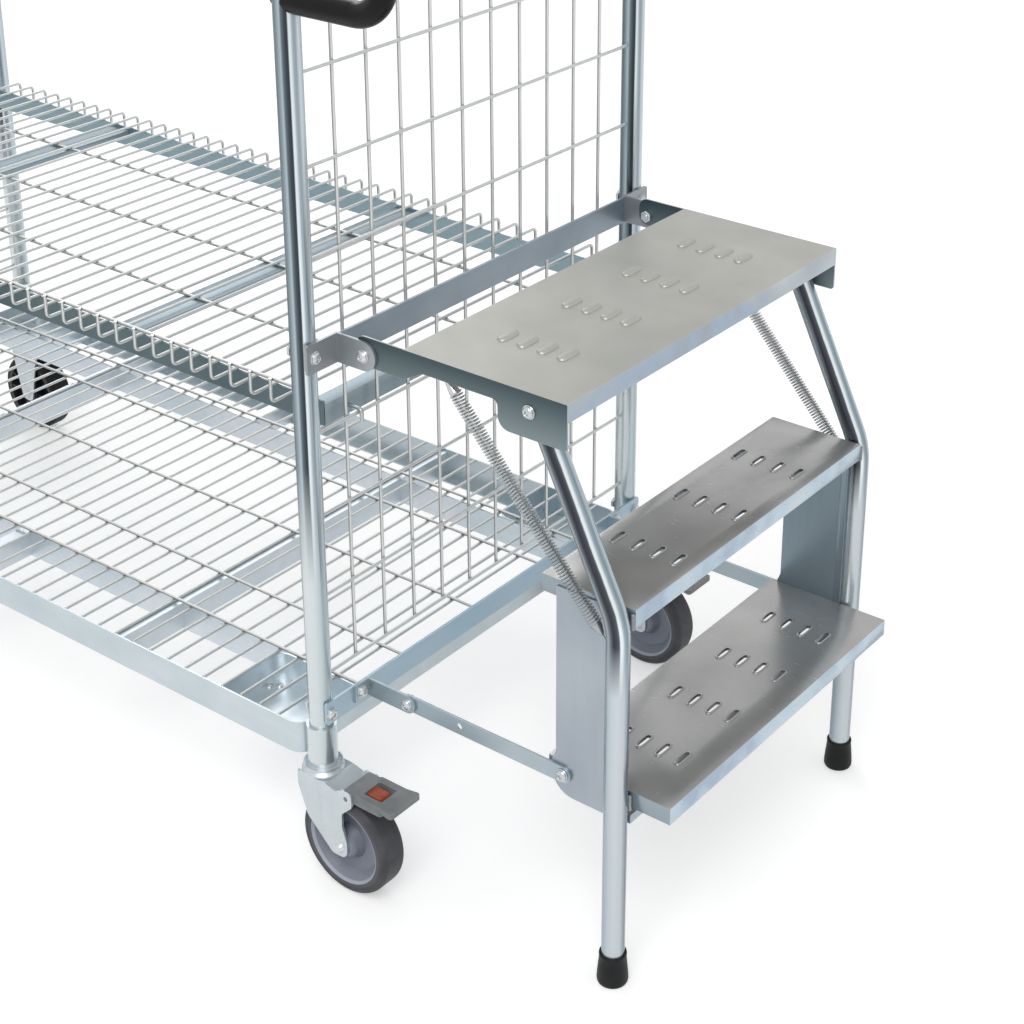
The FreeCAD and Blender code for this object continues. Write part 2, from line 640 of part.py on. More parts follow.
def frame_bolts():
    """Bolts through the posts, handles and link brackets, and the screws of the ladder-end troughs."""
    members = []
    wall = size("bracket_wall")
    gap = size("seat_gap")
    through = size("post_d") + wall + 2 * gap
    for side, sign in SIDES.items():
        y = sign * half_width
        bolt_z = size("rail_bolt_z")
        members.append(bolt(f"rail_bolt_{side}", V(face_x + wall, y, bolt_z), V(-1, 0, 0), through))
        members.append(bolt(f"hinge_bolt_{side}", V(face_x + wall, y, hinge_z), V(-1, 0, 0), through))
        rear_face = V(rear_x - post_r, y, bolt_z)
        members.append(bolt(f"rear_bolt_{side}", rear_face, V(1, 0, 0), size("post_d")))
        for height in handle_heights:
            handle_at = V(post_x - post_r, y, height)
            grip = size("post_d") + size("handle_thread")
            members.append(bolt(f"handle_bolt_{side}", handle_at, V(1, 0, 0), grip, nut=False))
        screw_at = V(face_x + 2 * wall, sign * link_screw_y, lower_z)
        members.append(bolt(f"link_screw_{side}", screw_at, V(-1, 0, 0), 2 * wall))
    members += [pan_screw(x, y) for x, y in pan_screw_places()]
    group("frame_bolts", members)


def pivot_bolts(label, pivots):
    """Pairs of bolts across the layers of linkage pivots (x, z, outer inset, inner inset), headed outside."""
    members = []
    for x, z, outer_inset, inner_inset in pivots:
        for side, sign in SIDES.items():
            place = V(x, sign * (half_width - outer_inset), z)
            members.append(bolt(f"{label}_{side}", place, V(0, -sign, 0), inner_inset - outer_inset))
    group(label, members)


# Wheels: hub and tyre turned about the axle
def tyre(label, x, y):
    body = new_body(label)
    half = size("tyre_width") / 2
    inner = wheel_r - size("tyre_depth")
    shoulder = size("tyre_shoulder")
    corners = [(-half, inner), (half, inner), (half, wheel_r, shoulder), (-half, wheel_r, shoulder)]
    revolve(body, "YZ", (y, wheel_r), x, "H_Axis", rounded(corners))


def hub(label, x, y, ribbed):
    """Wheel centre: a dished one on the swivel casters, a flat one with radial ribs on the fixed ones."""
    body = new_body(label)
    half = size("hub_width") / 2
    rim_half = size("tyre_width") / 2
    web_half = size("hub_web") / 2
    bore = size("axle_d") / 2 + size("bore_fit")
    boss = size("hub_boss_d") / 2
    seat = wheel_r - size("tyre_depth")
    rim_in = seat - size("hub_rim")
    dome = size("hub_dome")
    if ribbed:
        dish = [(half, boss), (web_half, boss), (web_half, rim_in)]
    else:
        dish = [(half, boss - dome), (half - dome, boss),
                (web_half, boss + dome), (web_half, rim_in - 2 * dome)]
    right = [(half, bore)] + dish + [(rim_half, rim_in), (rim_half, seat)]
    left = [(-across, out) for across, out in reversed(right)]
    revolve(body, "YZ", (y, wheel_r), x, "H_Axis", rounded(right + left))
    if ribbed:
        count = int(size("rib_count"))
        half_rib = size("rib_thick") / 2
        inset = size("rib_inset")
        low = boss - inset
        high = rim_in + inset
        loops = []
        for k in range(count):
            turn = FreeCAD.Rotation(V(0, 0, 1), 360.0 * k / count)
            flat = [(low, -half_rib), (high, -half_rib), (high, half_rib), (low, half_rib)]
            turned = [turn.multVec(V(a, b, 0)) for a, b in flat]
            loops.append(rounded([(x + point.x, wheel_r + point.y) for point in turned]))
        pad(body, "XZ", y - rim_half + inset, "dims.tyre_width - 2 * dims.rib_inset", *loops)


def axle(label, x, y):
    """Axle through a fork, with a tapered head outside each leg."""
    half = size("hub_width") / 2 + size("fork_gap") + size("fork_wall")
    pieces = [primitive("Cylinder", f"{label}_core", V(x, y - half, wheel_r), V(0, 1, 0),
                        Radius="dims.axle_d / 2", Height=f"{2 * half}")]
    for sign in SIDES.values():
        head_at = V(x, y + sign * half, wheel_r)
        pieces.append(primitive("Cone", f"{label}_head", head_at, V(0, sign, 0), Height="dims.axle_head",
                                Radius1="dims.axle_head_d / 2", Radius2="dims.axle_tip_d / 2"))
    joined = fuse(label, pieces)
    joined.Label = label
    nodes.append(joined)


# Swivel casters under the ladder-end posts
def caster_head(side):
    """Stepped upper race with the stem in the post and the kingpin through the fork's crown."""
    body = new_body(f"caster_head_{side}")
    y = SIDES[side] * half_width
    stem = post_r - size("post_wall") - size("stem_fit")
    stem_top = deck_base + size("stem_length")
    pin = size("kingpin_d") / 2
    cap = size("kingpin_cap_d") / 2
    head = size("head_d") / 2
    step = size("head_step")
    low = deck_base - size("head_height")
    cap_top = low - size("crown_height") - 2 * size("swing_gap")
    cap_low = cap_top - size("kingpin_cap")
    corners = [(0, cap_low), (cap, cap_low), (cap, cap_top), (pin, cap_top), (pin, low), (head, low),
               (head, low + step), (head - step, low + step), (head - step, low + 2 * step),
               (head - 2 * step, low + 2 * step), (head - 2 * step, deck_base), (stem, deck_base),
               (stem, stem_top), (0, stem_top)]
    revolve(body, "XZ", (post_x, 0), y, "V_Axis", rounded(corners))


def caster_fork(side):
    """Pressed fork: turned crown, a bridge that falls away to the pedal, and two raked legs."""
    body = new_body(f"caster_fork_{side}")
    y = SIDES[side] * half_width
    bore = size("kingpin_d") / 2 + size("bore_fit")
    crown = size("crown_d") / 2
    chamfer = size("crown_chamfer")
    top = deck_base - size("head_height") - size("swing_gap")
    low = top - size("crown_height")
    corners = [(bore, low), (crown - chamfer, low), (crown, low + chamfer), (crown, top - chamfer),
               (crown - chamfer, top), (bore, top)]
    revolve(body, "XZ", (post_x, 0), y, "V_Axis", rounded(corners))
    inner = size("hub_width") / 2 + size("fork_gap")
    wide = inner + size("fork_wall")
    bend = size("fork_round")
    bridge_front = post_x - size("bridge_front")
    bridge_back = post_x + size("bridge_back")
    bridge_top = low + size("bridge_rise")
    back_top = bridge_top - size("bridge_fall")
    bridge = [(bridge_front, low), (post_x + crown, low), (bridge_back, low + size("bridge_lift")),
              (bridge_back, back_top), (post_x + crown, bridge_top, bend), (bridge_front, bridge_top)]
    pad(body, "XZ", y - wide, f"{2 * wide}", rounded(bridge))
    pocket(body, "XY", low - chamfer, "dims.crown_height + 2 * dims.crown_chamfer", circle(post_x, y, bore))
    axle_x = post_x + size("caster_trail")
    boss = size("axle_boss_d") / 2
    sole = wheel_r - boss
    pivot_x = post_x + size("pedal_pivot_x")
    pivot_z = size("pedal_pivot_z")
    ear = size("pedal_ear")
    front = post_x - size("fork_front")
    waist = axle_x + size("fork_waist")
    leg_outline = [(front, bridge_top), (front, low - bend, bend),
                   (post_x - size("fork_knee_x"), size("fork_knee_z"), 2 * bend),
                   (axle_x - boss, sole, bend), (axle_x + boss, sole, boss * 0.9),
                   (axle_x + boss, wheel_r + boss, bend),
                   (waist, size("fork_waist_z"), bend), (waist, size("fork_neck_z"), bend),
                   (pivot_x + ear, pivot_z - ear, ear / 2), (pivot_x + ear, pivot_z + ear, ear / 2),
                   (pivot_x - ear, pivot_z + ear, ear / 2), (bridge_back - bend, back_top),
                   (post_x + crown, bridge_top, bend)]
    axle_hole = circle(axle_x, wheel_r, size("axle_d") / 2 + size("shank_fit"))
    pin_hole = circle(pivot_x, pivot_z, size("pedal_pin_d") / 2 + size("bore_fit"))
    for low_y in (y - wide, y + inner):
        pad(body, "XZ", low_y, "dims.fork_wall", rounded(leg_outline), axle_hole, pin_hole)


def brake_pedal(side):
    """Foot pedal: a deep frame round a window with a flared tip, on a pin between the fork's ears."""
    body = new_body(f"brake_pedal_{side}")
    y = SIDES[side] * half_width
    x = post_x + size("pedal_pivot_x")
    z = size("pedal_pivot_z")
    inner = size("hub_width") / 2 + size("fork_gap")
    reach = inner + size("fork_wall")
    half = inner - size("swing_gap")
    pad(body, "XZ", y - reach, f"{2 * reach}", circle(x, z, size("pedal_pin_d") / 2))
    knuckle = size("pedal_knuckle")
    low = z - size("pedal_low")
    top = low + size("pedal_depth")
    corner = size("pedal_corner")
    root = x + size("pedal_root")
    lap = root + corner
    arm = [(x - knuckle, z - knuckle, corner), (x + knuckle, z - knuckle, corner), (lap, low), (lap, top),
           (x - knuckle, top, corner)]
    pad(body, "XZ", y - half, f"{2 * half}", rounded(arm))
    wide = size("pedal_width") / 2
    end = x + size("pedal_end")
    pad(body, "XY", low, "dims.pedal_depth", rectangle(root, y - wide, end, y + wide, corner))
    tip = x + size("pedal_tip")
    flare = size("pedal_tip_width") / 2
    blade = [(end - corner, y - wide), (end, y - wide), (tip, y - flare, corner), (tip, y + flare, corner),
             (end, y + wide), (end - corner, y + wide)]
    pad(body, "XY", top - size("pedal_thick"), "dims.pedal_thick", rounded(blade))
    window = size("pedal_window") / 2
    hole = rectangle(x + size("window_start"), y - window, x + size("window_end"), y + window, corner / 2)
    pocket(body, "XY", low - corner, "dims.pedal_depth + 2 * dims.pedal_corner", hole)


def brake_cam(side):
    """Brake shoe in the pedal's window, just clear of the tyre at full press."""
    body = new_body(f"brake_cam_{side}")
    y = SIDES[side] * half_width
    z = size("pedal_pivot_z")
    half = size("cam_width") / 2
    start = post_x + size("pedal_pivot_x") + size("window_start") + size("swing_gap")
    end = start + size("cam_length")
    top = z - size("pedal_low") + size("pedal_depth") - size("cam_drop")
    shoe = [(start, top), (start, z - size("cam_toe")), ((start + end) / 2, z - size("cam_belly")),
            (end, z - size("cam_heel")), (end, top, size("pedal_corner"))]
    pad(body, "XZ", y - half, "dims.cam_width", rounded(shoe))


# Fixed casters under the rear troughs
def rear_fork(side):
    """Plate under a rear trough with two tapered legs."""
    body = new_body(f"rear_fork_{side}")
    x = rear_x + size("rear_caster_x")
    y = SIDES[side] * (half_width - size("rear_caster_inset"))
    half_x = size("plate_length") / 2
    half_y = size("plate_width") / 2
    hole = size("bolt_d") / 2 + size("shank_fit")
    top = deck_base - size("seat_gap")
    low = top - size("plate_thick")
    holes = [circle(hole_x, hole_y, hole) for hole_x, hole_y in rear_bolt_places() if hole_y * y > 0]
    plate = rectangle(x - half_x, y - half_y, x + half_x, y + half_y, size("plate_corner"))
    pad(body, "XY", low, "dims.plate_thick", plate, *holes)
    inner = size("hub_width") / 2 + size("fork_gap")
    boss = size("axle_boss_d") / 2
    shoulder = size("rear_leg_width") / 2
    root = low + size("plate_thick") / 2
    sole = wheel_r - boss
    tapered = [(x - shoulder, root), (x - boss, sole, boss * 0.9), (x + boss, sole, boss * 0.9),
               (x + shoulder, root)]
    axle_hole = circle(x, wheel_r, size("axle_d") / 2 + size("shank_fit"))
    for low_y in (y - inner - size("fork_wall"), y + inner):
        pad(body, "XZ", low_y, "dims.fork_wall", rounded(tapered), axle_hole)


def rear_plate_bolts():
    bearing = deck_base + size("trough_wall")
    grip = size("trough_wall") + size("plate_thick") + size("seat_gap")
    members = [bolt("plate_bolt", V(x, y, bearing), V(0, 0, -1), grip) for x, y in rear_bolt_places()]
    group("rear_plate_bolts", members)


# Ladder: treads, legs, side plates, links and springs
def louvre_field(prefix, rows):
    """Middles of a tread's louvres, in four columns."""
    x_first = post_x + size(f"{prefix}_louvre_x")
    x_step = size(f"{prefix}_louvre_step")
    row_step = size(f"{prefix}_louvre_row")
    y_first = -(rows - 1) * row_step / 2
    return [(x_first + i * x_step, y_first + j * row_step) for i in range(4) for j in range(rows)]


def tread_plate(body, prefix, inset, flange_outline, flange_holes, louvres):
    """Folded sheet tread: top, end folds and shaped side flanges, with rows of raised, open louvres."""
    wall = size("sheet")
    top = size(f"{prefix}_z")
    reach = half_width - inset
    low_x = post_x + size(f"{prefix}_start")
    high_x = post_x + size(f"{prefix}_end")
    pad(body, "XY", top - wall, "dims.sheet", rectangle(low_x, -reach, high_x, reach))
    for fold_x in (low_x, high_x - wall):
        pad(body, "YZ", fold_x, "dims.sheet", rectangle(-reach, top - size("fold"), reach, top))
    for side in SIDES:
        pad(body, "XZ", inward(side, inset, wall), "dims.sheet", rounded(flange_outline), *flange_holes)
    hoods = [slot(x, y, size("louvre_length"), size("louvre_width")) for x, y in louvres]
    pad(body, "XY", top - wall / 2, "dims.louvre_rise + dims.sheet / 2", *hoods)
    back = size("mouth_offset")
    mouths = [slot(x - back, y, size("mouth_length"), size("mouth_width")) for x, y in louvres]
    pocket(body, "XY", top - 2 * wall, "4 * dims.sheet", *mouths)


def top_tread():
    body = new_body("top_tread")
    top = size("top_z")
    base = top - size("fold")
    low_x = post_x + size("top_start")
    high_x = post_x + size("top_end")
    lobe_x = post_x + size("lobe_start")
    lobe_z = top - size("lobe_drop")
    half_arm = size("arm_height") / 2
    eye = half_arm * 0.999
    corner = size("sheet_corner")
    outline = [(high_x, top), (high_x, lobe_z, size("lobe_corner")), (lobe_x, lobe_z, corner),
               (lobe_x, base, corner / 2), (low_x + 2 * half_arm, base, corner),
               (low_x, hinge_z - half_arm, corner), (hinge_x - half_arm, hinge_z - half_arm, eye),
               (hinge_x - half_arm, top, eye)]
    bore = size("bolt_d") / 2 + size("bore_fit")
    holes = [circle(hinge_x, hinge_z, bore), circle(leg_pivot_x, hinge_z, bore)]
    tread_plate(body, "top", size("tread_inset"), outline, holes, louvre_field("top", 4))


def lower_tread(label, prefix, rows, holes):
    body = new_body(label)
    low_x = post_x + size(f"{prefix}_start")
    high_x = post_x + size(f"{prefix}_end")
    top = size(f"{prefix}_z")
    base = top - size("fold")
    outline = [(low_x, base), (high_x, base), (high_x, top), (low_x, top)]
    tread_plate(body, prefix, step_inset, outline, holes, louvre_field(prefix, rows))


def leg(side):
    """Bent tube from the leg pivot down to the foot."""
    body = new_body(f"leg_{side}")
    y = SIDES[side] * (half_width - leg_inset)
    x = post_x + size("leg_x")
    bend_z = size("leg_bend_z")
    slope = V(leg_pivot_x - x, hinge_z - bend_z, 0).normalize()
    head = V(leg_pivot_x, hinge_z, 0) + slope * size("leg_top")
    foot_z = size("foot_sole")
    corners = [(x, foot_z), (x, bend_z, size("leg_bend")), (head.x, head.y)]
    path = sketch(body, "XZ", y, [rounded(corners, closed=False)])
    outer = size("leg_d") / 2
    ring = [circle(x, y, outer), circle(x, y, outer - size("leg_wall"))]
    pipe(body, sketch(body, "XY", foot_z, ring), path)
    shank = circle(leg_pivot_x, hinge_z, size("bolt_d") / 2 + size("shank_fit"))
    pocket(body, "XZ", y - size("leg_d"), "2 * dims.leg_d", shank)


def foot(side):
    """Tapered rubber cup on the end of a leg."""
    body = new_body(f"foot_{side}")
    y = SIDES[side] * (half_width - leg_inset)
    x = post_x + size("leg_x")
    low = size("foot_d") / 2
    high = low - size("foot_taper")
    edge = size("foot_edge")
    bore = size("leg_d") / 2 + size("shank_fit")
    seat = size("foot_sole") - size("shank_fit")
    height = size("foot_height")
    corners = [(0, 0), (low - edge, 0), (low, edge), (high, height), (bore, height), (bore, seat), (0, seat)]
    revolve(body, "XZ", (x, 0), y, "V_Axis", rounded(corners))


def side_plates():
    """Plates inside the legs that carry the two lower treads, with a round corner at the link pivot."""
    body = new_body("side_plates")
    start = post_x + size("side_start")
    end = post_x + size("side_end")
    lobe = start - size("side_lobe")
    base = size("side_base")
    bolt_hole = circle(plate_pivot_x, lower_z, size("bolt_d") / 2 + size("shank_fit"))
    bend = size("lobe_round")
    outline = [(end, base), (end, size("side_top")), (start, size("side_top")),
               (start, lower_z + size("lobe_high"), bend), (lobe, lower_z + size("lobe_low"), bend),
               (lobe, base, 2 * size("sheet_corner"))]
    for side in SIDES:
        low_y = inward(side, side_inset, size("side_wall"))
        pad(body, "XZ", low_y, "dims.side_wall", rounded(outline), bolt_hole)


def ladder_brace():
    """Flat bar between the legs, under the bottom tread."""
    body = new_body("ladder_brace")
    x = post_x + size("leg_x")
    half = size("brace_width") / 2
    reach = half_width - side_inset
    low = size("brace_z") - size("brace_height") / 2
    outline = rectangle(x - half, low, x + half, low + size("brace_height"))
    pad(body, "XZ", -reach, f"{2 * reach}", outline)


def lower_links():
    body = new_body("lower_links")
    half = size("link_height") / 2
    eye = half * 0.999
    corners = [(lower_x - half, lower_z - half, eye), (plate_pivot_x + half, lower_z - half, eye),
               (plate_pivot_x + half, lower_z + half, eye), (lower_x - half, lower_z + half, eye)]
    holes = [circle(lower_x, lower_z, size("bolt_d") / 2 + size("bore_fit")),
             circle(plate_pivot_x, lower_z, size("bolt_d") / 2 + size("pivot_slack")),
             circle(lower_x + size("link_hole_x"), lower_z, size("link_hole_d") / 2)]
    for side in SIDES:
        low_y = inward(side, link_inset, size("link_wall"))
        pad(body, "XZ", low_y, "dims.link_wall", rounded(corners), *holes)


def biarc(start, start_way, end, end_way):
    """Two arcs that join two points smoothly in the given directions."""
    chord = end - start
    both = start_way + end_way
    spread = 2 * (1 - start_way.dot(end_way))
    along = chord.dot(both)
    if spread < 1e-9:
        step = chord.dot(chord) / (2 * along)
    else:
        step = (-along + math.sqrt(along * along + spread * chord.dot(chord))) / spread
    first = start + start_way * step
    last = end - end_way * step
    joint = (first + last) * 0.5
    arcs = []
    for corner, one, other in ((first, start, joint), (last, joint, end)):
        back = (one - corner).normalize()
        ahead = (other - corner).normalize()
        half = back.getAngle(ahead) / 2
        if math.pi / 2 - half < 1e-5:
            arcs.append(Part.LineSegment(one, other))
            continue
        radius = (one - corner).Length * math.tan(half)
        top = corner + (back + ahead).normalize() * (radius / math.sin(half) - radius)
        arcs.append(Part.Arc(one, top, other))
    return arcs


def spring_route(side):
    """Stations of the spring wire, each a point and a direction, from the tread flange to the leg."""
    wire = size("spring_wire")
    sign = SIDES[side]
    plane_y = sign * (half_width - leg_inset)
    flange_y = sign * (half_width - flange_inner - size("swing_gap"))
    top = V(post_x + size("spring_top_x"), plane_y, size("spring_top_z"))
    leg_face = post_x + size("leg_x") - size("leg_d") / 2 - size("swing_gap")
    low = V(leg_face - wire, plane_y, size("spring_low_z"))
    way = (low - top).normalize()
    inward_way = V(0, -sign, 0)
    across = way.cross(inward_way)
    radius = (size("spring_d") - wire) / 2
    coil_top = top + way * size("spring_hook")
    coil_length = (low - top).Length - size("spring_hook") - size("spring_low_hook")
    turns = int(size("spring_coils"))
    pitch = coil_length / turns
    eye = V(top.x, flange_y, top.z)
    stations = [(eye, inward_way), (eye + inward_way * wire, inward_way)]
    stations.append((top + way * size("spring_hook") / 2, way))
    for half_turn in range(2 * turns + 1):
        angle = math.pi * half_turn
        out = inward_way * math.cos(angle) + across * math.sin(angle)
        ahead = across * math.cos(angle) - inward_way * math.sin(angle)
        place = coil_top + way * (pitch * half_turn / 2) + out * radius
        stations.append((place, (ahead * radius + way * (pitch / (2 * math.pi))).normalize()))
    stations.append((low - way * size("spring_low_hook") / 2, way))
    stations.append((low, V(1, 0, 0)))
    stations.append((low + V(wire, 0, 0), V(1, 0, 0)))
    return stations


def spring_gap(edges, wire):
    """Least distance between parts of the wire that lie further apart along it than a few wire widths."""
    points = []
    for edge in edges:
        count = max(3, int(edge.Length / 1.5))
        points += edge.discretize(count)[:-1]
    travelled = [0.0]
    for one, other in zip(points, points[1:]):
        travelled.append(travelled[-1] + (other - one).Length)
    least = math.inf
    for i, one in enumerate(points):
        for j in range(i + 1, len(points)):
            apart = travelled[j] - travelled[i]
            if apart > 100:
                break
            if apart > 6 * wire:
                least = min(least, (points[j] - one).Length)
    return least - wire


def lift_spring(side):
    """Wound tension spring between the top tread's flange and a leg."""
    wire = size("spring_wire")
    stations = spring_route(side)
    curves = []
    for (start, start_way), (end, end_way) in zip(stations, stations[1:]):
        straight = (end - start).normalize()
        if straight.dot(start_way) > 0.99999 and straight.dot(end_way) > 0.99999:
            curves.append(Part.LineSegment(start, end))
        else:
            curves += biarc(start, start_way, end, end_way)
    edges = [curve.toShape() for curve in curves]
    radii = [edge.Curve.Radius for edge in edges if isinstance(edge.Curve, Part.Circle)]
    print(f"lift_spring_{side}: least gap {spring_gap(edges, wire):.2f} mm, least radius {min(radii):.2f}")
    start, way = stations[0]
    section = Part.Wire([Part.Circle(start, way, wire / 2).toShape()])
    node = doc.addObject("Part::Feature", f"lift_spring_{side}")
    node.Label = f"lift_spring_{side}"
    node.Shape = Part.Wire(edges).makePipeShell([section], True, False)
    node.Placement = FreeCAD.Placement()
    nodes.append(node)


# Chassis
deck_rim()
screw_r = size("pan_screw_d") / 2 + size("shank_fit")
end_trough("end_trough_ladder", deck_high_x, -1, [circle(x, y, screw_r) for x, y in pan_screw_places()])
bolt_r = size("bolt_d") / 2 + size("shank_fit")
end_trough("end_trough_rear", deck_low_x, 1, [circle(x, y, bolt_r) for x, y in rear_bolt_places()])
deck_inner_rails()
deck_cross_members()
deck_mesh()
corner_sockets()
end_frame("ladder_end_frame", post_x, (size("rail_bolt_z"), hinge_z) + handle_heights)
end_panel("ladder_end_mesh", post_x, -1)
end_frame("rear_end_frame", rear_x, (size("rail_bolt_z"),))
end_panel("rear_end_mesh", rear_x, 1)
shelf_rails()
shelf_cross_members()
shelf_mesh()
shelf_hooks()
end_rail()
hinge_brackets()
step_crossbar()
link_brackets()
frame_bolts()

# Casters and handles, one set on each side
for side, sign in SIDES.items():
    push_handle(side)
    caster_head(side)
    caster_fork(side)
    wheel_x = post_x + size("caster_trail")
    wheel_y = sign * half_width
    axle(f"caster_axle_{side}", wheel_x, wheel_y)
    hub(f"caster_hub_{side}", wheel_x, wheel_y, ribbed=False)
    tyre(f"caster_tyre_{side}", wheel_x, wheel_y)
    brake_pedal(side)
    brake_cam(side)
    rear_fork(side)
    rear_wheel_x = rear_x + size("rear_caster_x")
    rear_wheel_y = sign * (half_width - size("rear_caster_inset"))
    axle(f"rear_axle_{side}", rear_wheel_x, rear_wheel_y)
    hub(f"rear_hub_{side}", rear_wheel_x, rear_wheel_y, ribbed=True)
    tyre(f"rear_tyre_{side}", rear_wheel_x, rear_wheel_y)
rear_plate_bolts()

# Ladder
top_tread()
lower_tread("middle_tread", "middle", 3, [])
lower_tread("bottom_tread", "bottom", 4,
            [circle(plate_pivot_x, lower_z, size("bolt_d") / 2 + size("shank_fit"))])
for side in SIDES:
    leg(side)
    foot(side)
    lift_spring(side)
side_plates()
ladder_brace()
lower_links()
# Pivots whose bolts stay with the end frame, then those whose bolts ride with the legs
pivot_bolts("hinge_bolts", [
    (hinge_x, hinge_z, ear_inset, flange_inner + size("swing_gap")),
    (lower_x, lower_z, link_ear_inset, link_inset + size("link_wall") + size("swing_gap")),
])
pivot_bolts("leg_bolts", [
    (leg_pivot_x, hinge_z, size("tread_inset") - size("swing_gap"), leg_inset + size("leg_d") / 2),
    (plate_pivot_x, lower_z, link_inset - size("swing_gap"), step_inset + size("sheet")),
])

doc.recompute()
for thing in doc.Objects:
    if "Invalid" in thing.State or "Error" in thing.State:
        raise RuntimeError(f"{thing.Label} did not build")
for node in nodes:
    if node.Shape.isNull() or not node.Shape.isValid():
        raise RuntimeError(f"{node.Label} has no valid shape")
for node in nodes:
    node.Shape.exportStep(f"parts/{node.Label}.step")
print(f"{len(nodes)} sub-parts written")
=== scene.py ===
import bpy
import math
from mathutils import Matrix, Vector


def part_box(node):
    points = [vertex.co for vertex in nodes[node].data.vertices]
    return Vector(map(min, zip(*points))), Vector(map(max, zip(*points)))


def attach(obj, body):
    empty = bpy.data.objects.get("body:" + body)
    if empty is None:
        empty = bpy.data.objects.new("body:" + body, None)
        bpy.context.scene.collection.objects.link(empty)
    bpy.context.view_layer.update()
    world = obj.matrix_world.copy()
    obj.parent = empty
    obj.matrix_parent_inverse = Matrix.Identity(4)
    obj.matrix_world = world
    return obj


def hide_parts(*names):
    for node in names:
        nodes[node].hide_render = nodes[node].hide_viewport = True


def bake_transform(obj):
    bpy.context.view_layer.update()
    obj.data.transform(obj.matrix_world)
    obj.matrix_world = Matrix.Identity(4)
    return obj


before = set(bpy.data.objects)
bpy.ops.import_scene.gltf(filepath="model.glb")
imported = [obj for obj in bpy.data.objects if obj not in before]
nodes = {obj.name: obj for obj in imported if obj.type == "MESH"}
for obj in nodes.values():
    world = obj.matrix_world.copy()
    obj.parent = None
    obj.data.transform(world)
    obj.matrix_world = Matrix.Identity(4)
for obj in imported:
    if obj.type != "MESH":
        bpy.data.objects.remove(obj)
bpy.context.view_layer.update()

# Places on the trolley, in metres
SIDES = {"front": -1, "back": 1}
POST_X = 0.40875
REAR_X = -0.81025
CENTRE_X = (POST_X + REAR_X) / 2
HALF_WIDTH = 0.288
POST_R = 0.0135

# Wire
WIRE_R = 0.002
WIRE_SIDES = 10
CROSS_WIRES = 38
CROSS_PITCH = 0.030
FIRST_WIRE_X = CENTRE_X - CROSS_PITCH * (CROSS_WIRES - 1) / 2
DECK_CROSS_Z = 0.1921
DECK_LONG_Z = 0.1962
DECK_WIRE_Y = 0.3006
DECK_LONG_YS = (-0.206, -0.130, 0.0, 0.130, 0.206)
DECK_LONG_XS = (-0.79105, 0.38955)
SHELF_Z = 0.5731
SHELF_LONG_Z = 0.5690
SHELF_Y = 0.284
SHELF_LIP = 0.028
SHELF_BEND = 0.006
SHELF_LONG_XS = (-0.79425, 0.39275)
SHELF_LONG_YS = (-0.132, 0.0, 0.132)
SHELF_LIP_ZS = (0.5991, 0.5471)
PANEL_LOW_Z = 0.250
PANEL_HIGH_Z = 1.4723
RUNG_LOW_Z = 0.255
RUNG_STEP = 0.098
LONG_RUNGS = 12
RUNG_Y = 0.2744
TOP_RUNG_Y = 0.2719
UPRIGHT_YS = [-0.225 + 0.050 * k for k in range(10)]
WIRE_STEP = 0.0041

# Ladder
HINGE = (POST_X + 0.052, 0.646)
LEG_PIVOT = (POST_X + 0.264, 0.646)
LOWER_PIVOT = (POST_X + 0.076, 0.222)
PLATE_PIVOT = (POST_X + 0.288, 0.222)
LEG_X = POST_X + 0.363
LEG_Y = 0.2372
SPRING_TOP = (POST_X + 0.141, 0.650)
SPRING_LOW = (POST_X + 0.3482, 0.415)
SPRING_FLANGE_Y = 0.2497
SPRING_TURNS = 80
LOUVRE_COLUMNS = 4
TOP_LOUVRES = (POST_X + 0.167, 0.0253, (-0.162, -0.054, 0.054, 0.162), 0.667)
MIDDLE_LOUVRES = (POST_X + 0.276, 0.0253, (-0.117, 0.0, 0.117), 0.451)
BOTTOM_LOUVRES = (POST_X + 0.3085, 0.0246, (-0.144, -0.048, 0.048, 0.144), 0.236)
# Louvre sections, each ring as its rise, half width and half length
TOP_HOOD = ((-0.0003, 0.0062, 0.0152), (0.0017, 0.0053, 0.0143), (0.0023, 0.0040, 0.0128),
            (0.0025, 0.0024, 0.0110))
LOUVRE_RIM = ((-0.0004, 0.0047, 0.0142), (0.0010, 0.0040, 0.0134), (0.0014, 0.0034, 0.0126),
              (0.0012, 0.0027, 0.0114), (-0.0021, 0.0025, 0.0110))
LOUVRE_HOLE = (0.0028, 0.0114)
LOUVRE_SIDES = 16
PUNCH_REACH = 0.006
SEAM_BEADS = 6
SEAM_STEP = 0.0028
SEAM_X = 0.0085
SEAM_Y = 0.2247
SEAM_DROP = 0.020
PLATE_EDGE = 0.009
PLATE_WALL = 0.0024
PLATE_MIDDLE_Y = 0.22335
PLATE_BREAK = 0.0006

# Bolts and screws
RAIL_BOLT_Z = 0.216
RAIL_FACE_X = POST_X + 0.0166
RAIL_GRIP = 0.0302
REAR_GRIP = 0.0270
LINK_FACE_X = POST_X + 0.0196
LINK_SCREW_Y = 0.2417
LINK_GRIP = 0.0060
HANDLE_BOLT_ZS = (1.017, 1.317)
HANDLE_GRIP = 0.0410
TROUGH_SCREWS = ((0.26845, 0.2303), (0.27695, 0.2218))
TROUGH_FLOOR_Z = 0.155
TROUGH_WALL = 0.0020

# Swivel wheels
CASTER_AXLE = (POST_X + 0.042, 0.0625)
HUB_R = 0.053

# Shelf bars
SHELF_BAR_TOP = 0.5667
SHELF_BAR_REACH = 0.2439
CHANNEL_HALF = 0.018
CHANNEL_DEPTH = 0.008
CHANNEL_SPACING = 0.278
END_BAR_INSET = 0.016
END_BAR_FLANGE = 0.020
END_BAR_LOW = 0.542

# Folded sheet
SHEET_WALL = 0.002
SHEET_FOLD = 0.0007


